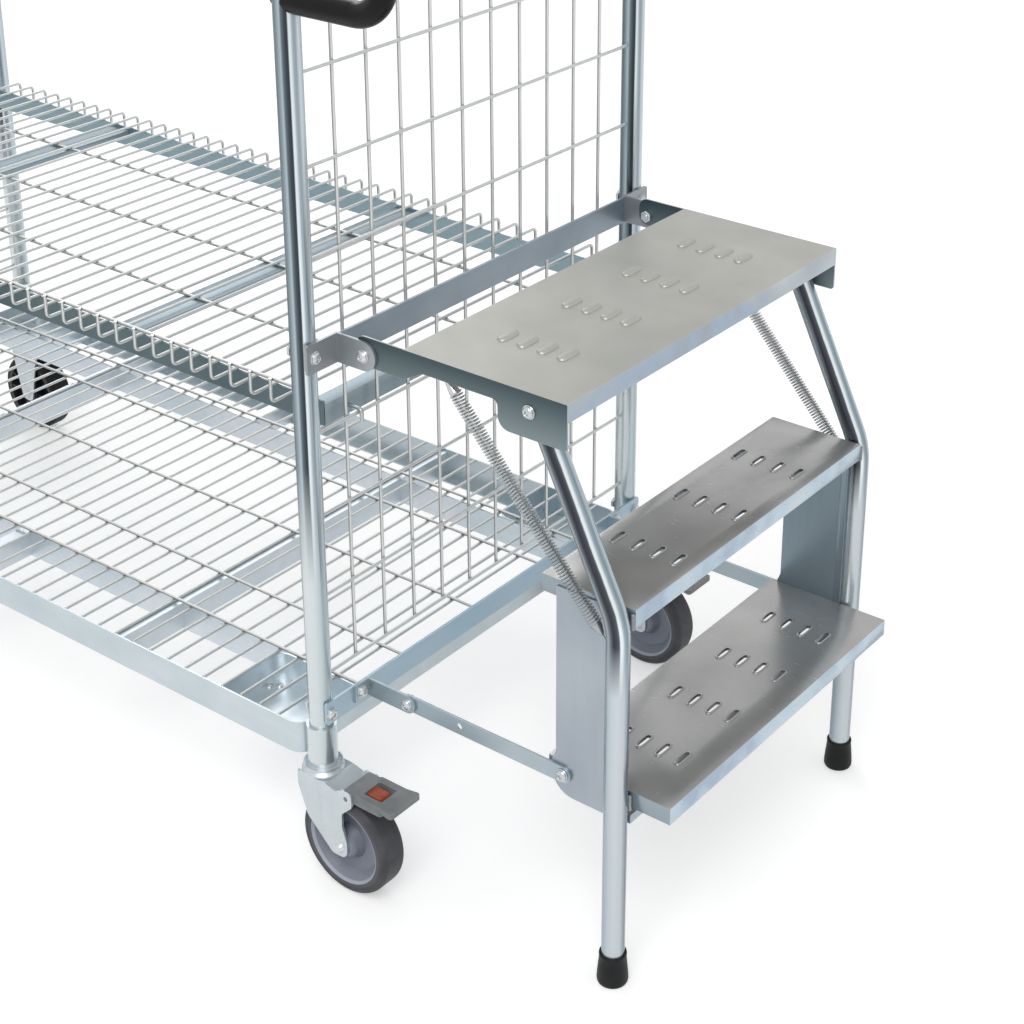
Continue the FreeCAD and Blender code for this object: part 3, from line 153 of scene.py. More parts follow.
def tone(red, green, blue):
    """Colour of a surface from its eight-bit screen values."""
    def linear(level):
        share = level / 255
        return share / 12.92 if share <= 0.04045 else ((share + 0.055) / 1.055) ** 2.4
    return (linear(red), linear(green), linear(blue), 1.0)


# Shader building blocks
def new_finish(name, metallic, specular=0.5):
    finish = bpy.data.materials.new(name)
    finish.use_nodes = True
    shader = finish.node_tree.nodes["Principled BSDF"]
    shader.inputs["Metallic"].default_value = metallic
    shader.inputs["Specular IOR Level"].default_value = specular
    return finish, finish.node_tree, shader


def object_pattern(tree, scale, turn=(0.0, 0.0, 0.0)):
    """Object coordinates stretched for a pattern that runs along a piece."""
    where = tree.nodes.new("ShaderNodeTexCoord")
    mapping = tree.nodes.new("ShaderNodeMapping")
    mapping.inputs["Scale"].default_value = scale
    mapping.inputs["Rotation"].default_value = turn
    tree.links.new(where.outputs["Object"], mapping.inputs["Vector"])
    return mapping.outputs["Vector"]


def cloud(tree, place, scale, detail=4.0, rough=0.55):
    noise = tree.nodes.new("ShaderNodeTexNoise")
    noise.inputs["Scale"].default_value = scale
    noise.inputs["Detail"].default_value = detail
    noise.inputs["Roughness"].default_value = rough
    tree.links.new(place, noise.inputs["Vector"])
    return noise.outputs["Fac"]


def shades(tree, level, *stops):
    """Colour ramp of (position, colour) stops."""
    ramp = tree.nodes.new("ShaderNodeValToRGB")
    band = ramp.color_ramp
    while len(band.elements) < len(stops):
        band.elements.new(0.5)
    for element, (position, colour) in zip(band.elements, stops):
        element.position = position
        element.color = colour
    tree.links.new(level, ramp.inputs["Fac"])
    return ramp.outputs["Color"]


def between(tree, level, low, high, start=0.0, stop=1.0):
    """Level spread over a range, for roughness and masks."""
    spread = tree.nodes.new("ShaderNodeMapRange")
    spread.inputs["From Min"].default_value = start
    spread.inputs["From Max"].default_value = stop
    spread.inputs["To Min"].default_value = low
    spread.inputs["To Max"].default_value = high
    tree.links.new(level, spread.inputs["Value"])
    return spread.outputs["Result"]


def blended(tree, level, first, second):
    mix = tree.nodes.new("ShaderNodeMix")
    mix.data_type = "RGBA"
    tree.links.new(level, mix.inputs["Factor"])
    for side, colour in (("A", first), ("B", second)):
        socket = next(s for s in mix.inputs if s.name == side and s.type == "RGBA")
        if isinstance(colour, tuple):
            socket.default_value = colour
        else:
            tree.links.new(colour, socket)
    return next(s for s in mix.outputs if s.type == "RGBA")


def added(tree, first, second, operation="ADD"):
    sum_node = tree.nodes.new("ShaderNodeMath")
    sum_node.operation = operation
    tree.links.new(first, sum_node.inputs[0])
    tree.links.new(second, sum_node.inputs[1])
    return sum_node.outputs["Value"]


def facing(tree, way):
    """How far a surface faces a fixed direction of the piece, from -1 to 1."""
    where = tree.nodes.new("ShaderNodeTexCoord")
    dot = tree.nodes.new("ShaderNodeVectorMath")
    dot.operation = "DOT_PRODUCT"
    dot.inputs[1].default_value = Vector(way).normalized()
    tree.links.new(where.outputs["Normal"], dot.inputs[0])
    return dot.outputs["Value"]


def square_to(tree, way):
    """Mask of the faces that lie square to a direction, on either side."""
    level = facing(tree, way)
    return between(tree, added(tree, level, level, "MULTIPLY"), 0.0, 1.0, 0.45, 0.75)


def along(tree, axis):
    """Place of a point along one axis of the piece."""
    where = tree.nodes.new("ShaderNodeTexCoord")
    apart = tree.nodes.new("ShaderNodeSeparateXYZ")
    tree.links.new(where.outputs["Object"], apart.inputs["Vector"])
    return apart.outputs[axis]


def edges(tree, reach):
    """Mask of worn edges: where a softened normal leaves the true one."""
    soft = tree.nodes.new("ShaderNodeBevel")
    soft.samples = 4
    soft.inputs["Radius"].default_value = reach
    true = tree.nodes.new("ShaderNodeNewGeometry")
    dot = tree.nodes.new("ShaderNodeVectorMath")
    dot.operation = "DOT_PRODUCT"
    tree.links.new(soft.outputs["Normal"], dot.inputs[0])
    tree.links.new(true.outputs["Normal"], dot.inputs[1])
    return between(tree, dot.outputs["Value"], 1.0, 0.0, 0.80, 0.995)


def relief(tree, shader, level, depth, strength):
    bump = tree.nodes.new("ShaderNodeBump")
    bump.inputs["Distance"].default_value = depth
    bump.inputs["Strength"].default_value = strength
    tree.links.new(level, bump.inputs["Height"])
    tree.links.new(bump.outputs["Normal"], shader.inputs["Normal"])


# Finishes
def zinc_plate(name, cool, warm, edge, rough, stretch, metallic=0.75, wear=0.25, inner=None, far=None):
    """Zinc-plated sheet: cool and warm patches, fine drawing lines and brighter folded edges; where asked,
    painted shade on faces toward the middle and a far side painted lighter.
    """
    finish, tree, shader = new_finish(name, metallic)
    patches = cloud(tree, object_pattern(tree, (1, 1, 1)), 6.0)
    lines = cloud(tree, object_pattern(tree, stretch), 1.0, 3.0)
    middle = tuple((a + b) / 2 for a, b in zip(cool, warm))
    colour = shades(tree, patches, (0.30, cool), (0.52, middle), (0.72, warm))
    # Faces that look toward the trolley's middle get the inner colour as painted shade.
    if inner:
        toward_middle = added(tree, facing(tree, (0, 1, 0)), along(tree, "Y"), "MULTIPLY")
        colour = blended(tree, between(tree, toward_middle, 1.0, 0.0, -0.10, -0.02), colour, inner)
    # The far side gets its own lighter colour: painted light against the shaded near side.
    if far:
        colour = blended(tree, between(tree, along(tree, "Y"), 0.0, 1.0, -0.1, 0.1), colour, far)
    shaded = blended(tree, between(tree, lines, 0.16, -0.06), colour, tone(92, 108, 118))
    worn = between(tree, edges(tree, 0.0012), 0.0, wear)
    tree.links.new(blended(tree, worn, shaded, edge), shader.inputs["Base Color"])
    tree.links.new(between(tree, lines, rough - 0.07, rough + 0.09), shader.inputs["Roughness"])
    relief(tree, shader, lines, 0.0002, 0.10)
    return finish


def shade_painted_wire(name, stops):
    """Bright drawn wire with painted shade along one side and a painted highlight along the other, and fine
    die lines.
    """
    finish, tree, shader = new_finish(name, 0.5)
    lines = cloud(tree, object_pattern(tree, (160, 160, 160)), 1.0, 3.0)
    # Painted shade on the side turned away from one direction, painted highlight on the side toward it.
    painted_light_level = between(tree, facing(tree, (0.80, 0.30, 0.52)), 0.0, 1.0, -1.0, 1.0)
    level = added(tree, painted_light_level, between(tree, lines, -0.06, 0.06))
    tree.links.new(shades(tree, level, *stops), shader.inputs["Base Color"])
    tree.links.new(between(tree, lines, 0.24, 0.40), shader.inputs["Roughness"])
    relief(tree, shader, lines, 0.0001, 0.08)
    return finish


def reflection_banded_tube(name, upper, lower, low_z, high_z, rough, way=(0.80, 0.60, 0.22)):
    """Bright drawn tube: painted reflections as light and dark bands along it, a second, paler set of painted
    reflection bands lower down, and fine scratches.
    """
    finish, tree, shader = new_finish(name, 0.7)
    lines = cloud(tree, object_pattern(tree, (110, 110, 2.5)), 1.0, 4.0)
    drift = cloud(tree, object_pattern(tree, (3, 3, 2.2)), 1.0, 2.0)
    # The bands are painted reflections, set by which way the surface faces.
    painted_light_level = between(tree, facing(tree, way), 0.0, 1.0, -1.0, 1.0)
    wander = added(tree, between(tree, lines, -0.03, 0.03), between(tree, drift, -0.07, 0.07))
    level = added(tree, painted_light_level, wander)
    height = between(tree, along(tree, "Z"), 0.0, 1.0, low_z, high_z)
    colour = blended(tree, height, shades(tree, level, *lower), shades(tree, level, *upper))
    tree.links.new(colour, shader.inputs["Base Color"])
    tree.links.new(between(tree, lines, rough - 0.05, rough + 0.08), shader.inputs["Roughness"])
    relief(tree, shader, lines, 0.0001, 0.08)
    return finish


def tread_plate(name, light, dark, fold, flange_low, flange_high, flange_z, rough):
    """Pressed tread: satin walking face, pale folds with faint blue and violet, end flanges with painted
    shade.
    """
    finish, tree, shader = new_finish(name, 0.7)
    lines = cloud(tree, object_pattern(tree, (30, 420, 260)), 1.0, 2.0)
    patches = cloud(tree, object_pattern(tree, (1, 1, 1)), 9.0)
    walked = shades(tree, patches, (0.32, dark), (0.66, light))
    folds = shades(tree, patches, (0.30, tuple(0.84 * c for c in fold[:3]) + (1.0,)),
                   (0.42, tone(166, 182, 200)), (0.50, fold), (0.74, tone(204, 213, 217)))
    # End flanges get painted shade, blended by height.
    sides = blended(tree, between(tree, along(tree, "Z"), 0.0, 1.0, *flange_z), flange_low, flange_high)
    body = blended(tree, square_to(tree, (1, 0, 0)), walked, folds)
    body = blended(tree, square_to(tree, (0, 1, 0)), body, sides)
    body = blended(tree, between(tree, lines, 0.03, 0.0), body, tone(70, 76, 80))
    worn = between(tree, edges(tree, 0.0011), 0.0, 0.30)
    tree.links.new(blended(tree, worn, body, tone(222, 228, 230)), shader.inputs["Base Color"])
    tree.links.new(between(tree, lines, rough - 0.02, rough + 0.04), shader.inputs["Roughness"])
    grain = cloud(tree, object_pattern(tree, (1, 1, 1)), 700.0, 2.0)
    relief(tree, shader, grain, 0.00005, 0.02)
    return finish


def shade_painted_pressing(name, way, stops, rough):
    """Louvre edge: painted shade and highlight by how far its wall faces one fixed direction, plain on the
    crown.
    """
    finish, tree, shader = new_finish(name, 0.7)
    lines = cloud(tree, object_pattern(tree, (14, 320, 180)), 1.0, 4.0)
    painted_light_level = between(tree, facing(tree, way), 0.0, 1.0, -1.0, 1.0)
    level = added(tree, painted_light_level, between(tree, lines, -0.02, 0.02))
    tree.links.new(shades(tree, level, *stops), shader.inputs["Base Color"])
    tree.links.new(between(tree, lines, rough - 0.04, rough + 0.06), shader.inputs["Roughness"])
    relief(tree, shader, lines, 0.0001, 0.04)
    return finish


def moulded(name, dark, light, rough, grain, depth, specular=0.4):
    """Moulded rubber or plastic: fine grain, scuffs and slightly paler edges."""
    finish, tree, shader = new_finish(name, 0.0, specular)
    fine = cloud(tree, object_pattern(tree, (1, 1, 1)), grain, 5.0, 0.6)
    scuffs = cloud(tree, object_pattern(tree, (1, 1, 1)), 34.0, 3.0)
    colour = shades(tree, scuffs, (0.30, dark), (0.74, light))
    paler = tuple(min(1.0, 1.6 * c + 0.012) for c in light[:3]) + (1.0,)
    worn = between(tree, edges(tree, 0.001), 0.0, 0.45)
    tree.links.new(blended(tree, worn, colour, paler), shader.inputs["Base Color"])
    tree.links.new(between(tree, fine, rough - 0.10, rough + 0.12), shader.inputs["Roughness"])
    relief(tree, shader, fine, depth, 0.25)
    return finish


def dished_hub(name, stops):
    """Moulded wheel centre, paler on its boss and rim, with the tyre's rubber lapped over its edge."""
    finish, tree, shader = new_finish(name, 0.0, 0.4)
    where = tree.nodes.new("ShaderNodeTexCoord")
    from_axle = tree.nodes.new("ShaderNodeMapping")
    from_axle.inputs["Location"].default_value = (-CASTER_AXLE[0] / HUB_R, 0.0, -CASTER_AXLE[1] / HUB_R)
    from_axle.inputs["Scale"].default_value = (1 / HUB_R, 0.0, 1 / HUB_R)
    tree.links.new(where.outputs["Object"], from_axle.inputs["Vector"])
    radius = tree.nodes.new("ShaderNodeVectorMath")
    radius.operation = "LENGTH"
    tree.links.new(from_axle.outputs["Vector"], radius.inputs[0])
    fine = cloud(tree, object_pattern(tree, (1, 1, 1)), 600, 5.0, 0.6)
    scuffs = cloud(tree, object_pattern(tree, (1, 1, 1)), 34.0, 3.0)
    colour = shades(tree, radius.outputs["Value"], *stops)
    tree.links.new(blended(tree, between(tree, scuffs, -0.04, 0.16), colour, tone(150, 154, 162)),
                   shader.inputs["Base Color"])
    tree.links.new(between(tree, fine, 0.32, 0.54), shader.inputs["Roughness"])
    relief(tree, shader, fine, 0.0002, 0.25)
    return finish


sheet_zinc = zinc_plate("sheet_zinc", tone(190, 203, 209), tone(214, 222, 225), tone(244, 247, 248),
                        0.34, (14, 60, 60))
# Troughs: colours made paler as painted light against the shade inside the troughs.
lit_pan_zinc = zinc_plate("lit_pan_zinc", tone(214, 228, 236), tone(232, 239, 243), tone(246, 249, 250),
                      0.32, (50, 50, 50))
rail_zinc = zinc_plate("rail_zinc", tone(200, 213, 220), tone(224, 229, 234), tone(240, 244, 246),
                       0.36, (60, 60, 60))
end_rail_zinc = zinc_plate("end_rail_zinc", tone(158, 184, 200), tone(182, 198, 208), tone(230, 236, 240),
                           0.34, (60, 14, 60))
channel_zinc = zinc_plate("channel_zinc", tone(150, 170, 178), tone(176, 188, 196), tone(214, 222, 226),
                          0.46, (60, 14, 60), 0.55)
# Shelf rails: their dark tones are painted shade, with the far rail painted lighter.
shaded_shelf_rail_zinc = zinc_plate("shaded_shelf_rail_zinc", tone(66, 86, 90), tone(98, 114, 118), tone(186, 198, 202),
                             0.36, (3, 90, 90), far=tone(142, 164, 172))
# Side plates: inner faces darker as painted shade.
side_zinc = zinc_plate("side_zinc", tone(156, 165, 174), tone(176, 183, 191), tone(228, 232, 236),
                       0.30, (90, 90, 9), inner=tone(142, 158, 168))
bracket_satin = zinc_plate("bracket_satin", tone(146, 152, 156), tone(180, 182, 184), tone(220, 224, 226),
                           0.36, (120, 120, 8))
crossbar_satin = zinc_plate("crossbar_satin", tone(128, 142, 153), tone(158, 167, 175), tone(214, 220, 226),
                            0.38, (120, 8, 90))
link_zinc = zinc_plate("link_zinc", tone(158, 176, 184), tone(186, 196, 201), tone(232, 238, 240),
                       0.34, (12, 90, 90))
caster_zinc = zinc_plate("caster_zinc", tone(184, 195, 200), tone(214, 219, 222), tone(246, 248, 248),
                         0.28, (70, 70, 18))
bright_zinc = zinc_plate("bright_zinc", tone(184, 190, 194), tone(222, 224, 224), tone(248, 248, 248),
                         0.24, (140, 140, 140), 0.85)
# Wires: painted shade along one side and a painted highlight along the other.
wire_zinc = shade_painted_wire("wire_zinc", (
    (0.0, tone(92, 110, 114)), (0.40, tone(146, 152, 152)), (0.54, tone(208, 208, 206)),
    (0.80, tone(230, 230, 228)), (1.0, tone(196, 204, 206))))
spring_zinc = zinc_plate("spring_zinc", tone(150, 156, 160), tone(210, 213, 213), tone(236, 238, 238),
                         0.24, (90, 90, 90), 0.85)
# Deck and shelf weld beads: their dark tone is painted shadow where the wires cross, besides the burn of the
# welds.
weld_shadow_dark = zinc_plate("weld_shadow_dark", tone(66, 70, 72), tone(104, 104, 103), tone(130, 130, 128),
                       0.48, (300, 300, 300), 0.5)
weld_grey = zinc_plate("weld_grey", tone(128, 134, 136), tone(168, 170, 170), tone(190, 190, 190),
                       0.42, (300, 300, 300), 0.5)
# Posts and sockets: light and dark bands are painted reflections, paler near the floor.
post_tube = reflection_banded_tube("post_tube", (
    (0.00, tone(46, 60, 65)), (0.09, tone(104, 120, 127)), (0.20, tone(148, 164, 172)),
    (0.28, tone(172, 187, 195)), (0.35, tone(98, 111, 118)), (0.45, tone(58, 69, 76)),
    (0.545, tone(42, 52, 58)), (0.59, tone(222, 231, 236)), (0.65, tone(214, 223, 229)),
    (0.72, tone(158, 170, 177)), (0.80, tone(146, 160, 167)), (0.89, tone(206, 218, 225)),
    (1.0, tone(178, 192, 200))), (
    (0.00, tone(164, 180, 188)), (0.14, tone(212, 219, 220)), (0.50, tone(206, 213, 215)),
    (0.72, tone(190, 202, 205)), (0.88, tone(166, 182, 188)), (1.0, tone(204, 213, 217))),
    0.38, 0.52, 0.22)
# Legs: light and dark bands are painted reflections, paler lower down.
leg_tube = reflection_banded_tube("leg_tube", (
    (0.00, tone(112, 121, 127)), (0.10, tone(162, 171, 177)), (0.21, tone(96, 103, 109)),
    (0.33, tone(46, 49, 57)), (0.45, tone(62, 66, 73)), (0.55, tone(84, 91, 95)),
    (0.60, tone(232, 239, 242)), (0.67, tone(226, 234, 238)), (0.75, tone(156, 170, 178)),
    (0.85, tone(126, 143, 152)), (0.96, tone(182, 197, 204))), (
    (0.00, tone(128, 142, 152)), (0.12, tone(170, 184, 193)), (0.25, tone(188, 198, 203)),
    (0.52, tone(198, 206, 210)), (0.76, tone(192, 200, 205)), (0.86, tone(158, 170, 177)),
    (0.94, tone(112, 124, 134)), (1.0, tone(146, 158, 168))),
    0.36, 0.42, 0.20)
# Top tread: its end flanges darken toward the top as painted shade.
top_tread_plate = tread_plate("top_tread_plate", tone(182, 182, 176), tone(168, 169, 163),
                              tone(178, 187, 193), tone(124, 137, 141), tone(66, 82, 87),
                              (0.620, 0.664), 0.40)
low_tread_plate = tread_plate("low_tread_plate", tone(180, 180, 179), tone(160, 161, 160),
                              tone(184, 204, 216), tone(150, 162, 170), tone(150, 162, 170), (0.2, 0.4), 0.25)
# Top tread louvres: walls painted darker or lighter by the way they face, as painted shade and highlight.
top_hood_metal = shade_painted_pressing("top_hood_metal", (0.95, 0.30, 0.0), (
    (0.0, tone(154, 154, 149)), (0.30, tone(163, 163, 158)), (0.46, tone(174, 174, 168)),
    (0.56, tone(176, 176, 170)), (0.80, tone(178, 178, 173)), (1.0, tone(182, 182, 178))), 0.44)
# Lower tread louvre rims: walls and linings painted dark as painted shade in the openings, crowns painted
# lighter.
low_rim_metal = shade_painted_pressing("low_rim_metal", (0, 0, 1), (
    (0.0, tone(84, 86, 87)), (0.52, tone(92, 94, 95)), (0.74, tone(122, 123, 123)),
    (0.92, tone(162, 162, 161)), (1.0, tone(172, 172, 171))), 0.28)
black_grip = moulded("black_grip", tone(8, 8, 9), tone(18, 18, 19), 0.26, 900, 0.0001, 0.18)
grey_tyre = moulded("grey_tyre", tone(60, 60, 64), tone(82, 84, 88), 0.55, 700, 0.0003, 0.3)
grey_hub = dished_hub("grey_hub", (
    (0.0, tone(150, 156, 170)), (0.22, tone(140, 147, 160)), (0.32, tone(110, 116, 129)),
    (0.62, tone(124, 131, 144)), (0.86, tone(132, 138, 150)), (0.875, tone(176, 182, 193)),
    (0.915, tone(170, 176, 188)), (0.925, tone(70, 72, 76)), (1.0, tone(64, 66, 70))))
grey_pedal = moulded("grey_pedal", tone(112, 116, 118), tone(138, 141, 142), 0.45, 700, 0.0003)
brown_brake = moulded("brown_brake", tone(150, 66, 42), tone(186, 90, 60), 0.45, 700, 0.0003)
black_tyre = moulded("black_tyre", tone(22, 22, 24), tone(42, 42, 44), 0.55, 700, 0.0003, 0.2)
black_hub = moulded("black_hub", tone(30, 30, 33), tone(56, 56, 60), 0.40, 600, 0.0002)
black_rubber = moulded("black_rubber", tone(16, 17, 18), tone(34, 35, 37), 0.50, 800, 0.0002, 0.2)

FINISHED_WITH = (
    (sheet_zinc, ("deck_rim",)),
    (end_rail_zinc, ("end_rail",)),
    (lit_pan_zinc, ("end_trough_ladder", "end_trough_rear")),
    (rail_zinc, ("deck_inner_rails", "deck_cross_members")),
    (channel_zinc, ("shelf_cross_members",)),
    (shaded_shelf_rail_zinc, ("shelf_rails",)),
    (post_tube, ("ladder_end_frame", "rear_end_frame", "corner_sockets")),
    (bracket_satin, ("hinge_brackets",)),
    (crossbar_satin, ("step_crossbar",)),
    (link_zinc, ("link_brackets", "lower_links")),
    (side_zinc, ("side_plates", "ladder_brace")),
    (top_tread_plate, ("top_tread",)),
    (low_tread_plate, ("middle_tread", "bottom_tread")),
    (leg_tube, ("leg_front", "leg_back")),
    (wire_zinc, ("deck_mesh", "shelf_mesh", "ladder_end_mesh", "rear_end_mesh")),
    (bright_zinc, ("frame_bolts", "hinge_bolts", "leg_bolts", "rear_plate_bolts")),
    (spring_zinc, ("shelf_hooks", "lift_spring_front", "lift_spring_back")),
    (black_grip, ("push_handle_front", "push_handle_back")),
    (black_rubber, ("foot_front", "foot_back")),
    (caster_zinc, ("caster_head_front", "caster_head_back", "caster_fork_front", "caster_fork_back",
                   "rear_fork_front", "rear_fork_back")),
    (bright_zinc, ("caster_axle_front", "caster_axle_back", "rear_axle_front", "rear_axle_back")),
    (grey_hub, ("caster_hub_front", "caster_hub_back")),
    (grey_tyre, ("caster_tyre_front", "caster_tyre_back")),
    (grey_pedal, ("brake_pedal_front", "brake_pedal_back")),
    (brown_brake, ("brake_cam_front", "brake_cam_back")),
    (black_hub, ("rear_hub_front", "rear_hub_back")),
    (black_tyre, ("rear_tyre_front", "rear_tyre_back")),
)
for finish, names in FINISHED_WITH:
    for name in names:
        nodes[name].data.materials.clear()
        nodes[name].data.materials.append(finish)


# Bench tools
def put_down():
    """Leave edit mode with nothing selected."""
    if bpy.context.mode != "OBJECT":
        bpy.ops.object.mode_set(mode="OBJECT")
    bpy.ops.object.select_all(action="DESELECT")


def take_up(*pieces):
    put_down()
    for piece in pieces:
        piece.select_set(True)
    bpy.context.view_layer.objects.active = pieces[0]


def round_blank(place, way, radius, sides, fill="NGON"):
    """A disc or ring square to a direction, left in edit mode with all of it selected."""
    put_down()
    turn = Vector(way).to_track_quat("Z", "Y").to_euler()
    bpy.ops.mesh.primitive_circle_add(vertices=sides, radius=radius, fill_type=fill,
                                      location=place, rotation=turn)
    piece = bpy.context.object
    bpy.ops.object.transform_apply(location=True, rotation=True, scale=True)
    bpy.ops.object.mode_set(mode="EDIT")
    return piece


def block(middle, sizes):
    """A square block of the given sizes."""
    put_down()
    bpy.ops.mesh.primitive_cube_add(size=1, location=middle, scale=sizes)
    piece = bpy.context.object
    bpy.ops.object.transform_apply(location=True, rotation=True, scale=True)
    return piece


def push(step):
    bpy.ops.mesh.extrude_region_move(TRANSFORM_OT_translate={"value": tuple(step)})


def swept(heading, new_heading, at, radius, steps):
    """Carry the selected end round a bend. The spin tool turns against the right hand."""
    axis = Vector(heading).cross(Vector(new_heading))
    centre = Vector(at) + Vector(new_heading) * radius
    bpy.ops.mesh.spin(steps=steps, angle=-math.pi / 2, center=centre, axis=axis)
    return centre + Vector(heading) * radius


def settled(piece, name, smooth=40):
    """Merge doubles, turn faces outward and smooth all but the hard edges."""
    take_up(piece)
    bpy.ops.object.mode_set(mode="EDIT")
    bpy.ops.mesh.select_all(action="SELECT")
    bpy.ops.mesh.remove_doubles(threshold=1e-6)
    bpy.ops.mesh.normals_make_consistent(inside=False)
    bpy.ops.object.mode_set(mode="OBJECT")
    bpy.ops.object.shade_smooth_by_angle(angle=math.radians(smooth))
    piece.name = name
    return piece


def turned(place, way, sides, rings):
    """Turned shape: a disc pushed along its axis and resized ring by ring, each (distance, radius)."""
    axis = Vector(way).normalized()
    at, radius = rings[0]
    piece = round_blank(Vector(place) + axis * at, axis, radius, sides)
    for next_at, next_radius in rings[1:]:
        push(axis * (next_at - at))
        centre = Vector(place) + axis * next_at
        grow = next_radius / radius
        bpy.ops.transform.resize(value=(grow, grow, grow), center_override=centre)
        at, radius = next_at, next_radius
    put_down()
    return piece


def repeated(piece, count, step):
    take_up(piece)
    row = piece.modifiers.new("row", "ARRAY")
    row.count = count
    row.use_relative_offset = False
    row.use_constant_offset = True
    row.constant_offset_displace = step
    bpy.ops.object.modifier_apply(modifier=row.name)
    return piece


def pick(piece, kind, test):
    """Select the vertices or faces of a piece that pass a test of their place, and nothing else."""
    take_up(piece)
    bpy.ops.object.mode_set(mode="EDIT")
    bpy.ops.mesh.select_mode(type="FACE" if kind == "polygons" else "VERT")
    bpy.ops.mesh.select_all(action="DESELECT")
    bpy.ops.object.mode_set(mode="OBJECT")
    for element in getattr(piece.data, kind):
        element.select = test(element)
    bpy.ops.object.mode_set(mode="EDIT")


def joined(pieces, name, smooth=40):
    take_up(*pieces)
    bpy.ops.object.join()
    return settled(bpy.context.object, name, smooth)


def dressed(piece, finish):
    piece.data.materials.clear()
    piece.data.materials.append(finish)


def hand_over(piece, finish, slot, body, *stands_for):
    dressed(piece, finish)
    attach(piece, body)
    if stands_for:
        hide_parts(*stands_for)


# Wire panels
def straight_wire(start, end):
    """Round wire with cropped, slightly broken ends."""
    way = Vector(end) - Vector(start)
    nip = 0.0006
    rings = [(0, WIRE_R - nip), (nip, WIRE_R), (way.length - nip, WIRE_R), (way.length, WIRE_R - nip)]
    return turned(start, way, WIRE_SIDES, rings)


def shelf_cross_wire(x):
    """Shelf wire turned up at the front and down at the back with small bends."""
    front, back = -SHELF_Y, SHELF_Y
    down, across = Vector((0, 0, -1)), Vector((0, 1, 0))
    piece = round_blank((x, front, SHELF_Z + SHELF_LIP), down, WIRE_R, WIRE_SIDES)
    push(down * (SHELF_LIP - SHELF_BEND))
    end = swept(down, across, (x, front, SHELF_Z + SHELF_BEND), SHELF_BEND, 4)
    push(across * (back - SHELF_BEND - end.y))
    end = swept(across, down, (x, back - SHELF_BEND, SHELF_Z), SHELF_BEND, 4)
    push(down * (SHELF_LIP - SHELF_BEND))
    put_down()
    return piece


def weld_bead(place, way):
    """Flattened bead of metal where two wires are welded."""
    return turned(place, way, 8, [(-0.0014, 0.0009), (-0.0006, 0.0019), (0.0006, 0.0019), (0.0014, 0.0009)])


row_step = (CROSS_PITCH, 0, 0)
deck_wires = [repeated(straight_wire((FIRST_WIRE_X, -DECK_WIRE_Y, DECK_CROSS_Z),
                                     (FIRST_WIRE_X, DECK_WIRE_Y, DECK_CROSS_Z)), CROSS_WIRES, row_step)]
deck_beads = []
for y in DECK_LONG_YS:
    deck_wires.append(straight_wire((DECK_LONG_XS[0], y, DECK_LONG_Z), (DECK_LONG_XS[1], y, DECK_LONG_Z)))
    bead = weld_bead((FIRST_WIRE_X, y, (DECK_CROSS_Z + DECK_LONG_Z) / 2), (0, 0, 1))
    deck_beads.append(repeated(bead, CROSS_WIRES, row_step))
hand_over(joined(deck_wires, "deck_wire_panel"), wire_zinc, "zinc_steel", "chassis", "deck_mesh")
hand_over(joined(deck_beads, "deck_wire_welds"), weld_shadow_dark, "zinc_steel", "chassis")

shelf_wires = [repeated(shelf_cross_wire(FIRST_WIRE_X), CROSS_WIRES, row_step)]
shelf_beads = []
lip_wires = list(zip((-SHELF_Y + WIRE_STEP, SHELF_Y - WIRE_STEP), SHELF_LIP_ZS))
for y, z in [(y, SHELF_LONG_Z) for y in SHELF_LONG_YS] + lip_wires:
    shelf_wires.append(straight_wire((SHELF_LONG_XS[0], y, z), (SHELF_LONG_XS[1], y, z)))
for y in SHELF_LONG_YS:
    bead = weld_bead((FIRST_WIRE_X, y, (SHELF_Z + SHELF_LONG_Z) / 2), (0, 0, 1))
    shelf_beads.append(repeated(bead, CROSS_WIRES, row_step))
for (y, z), outward in zip(lip_wires, (-1, 1)):
    bead = weld_bead((FIRST_WIRE_X, y + outward * WIRE_STEP / 2, z), (0, 1, 0))
    shelf_beads.append(repeated(bead, CROSS_WIRES, row_step))
hand_over(joined(shelf_wires, "shelf_wire_panel"), wire_zinc, "zinc_steel", "chassis", "shelf_mesh")
hand_over(joined(shelf_beads, "shelf_wire_welds"), weld_shadow_dark, "zinc_steel", "chassis")

for end, x, inward in (("ladder_end", POST_X, -1), ("rear_end", REAR_X, 1)):
    top_rung_z = RUNG_LOW_Z + RUNG_STEP * LONG_RUNGS
    upright_x = x + inward * WIRE_STEP
    rung = straight_wire((x, -RUNG_Y, RUNG_LOW_Z), (x, RUNG_Y, RUNG_LOW_Z))
    rungs = repeated(rung, LONG_RUNGS, (0, 0, RUNG_STEP))
    wires = [rungs, straight_wire((x, -TOP_RUNG_Y, top_rung_z), (x, TOP_RUNG_Y, top_rung_z))]
    beads = []
    for y in UPRIGHT_YS:
        wires.append(straight_wire((upright_x, y, PANEL_LOW_Z), (upright_x, y, PANEL_HIGH_Z)))
        bead = weld_bead(((x + upright_x) / 2, y, RUNG_LOW_Z), (1, 0, 0))
        beads.append(repeated(bead, LONG_RUNGS + 1, (0, 0, RUNG_STEP)))
    hand_over(joined(wires, f"{end}_wire_panel"), wire_zinc, "zinc_steel", "chassis", f"{end}_mesh")
    hand_over(joined(beads, f"{end}_wire_welds"), weld_grey, "zinc_steel", "chassis")


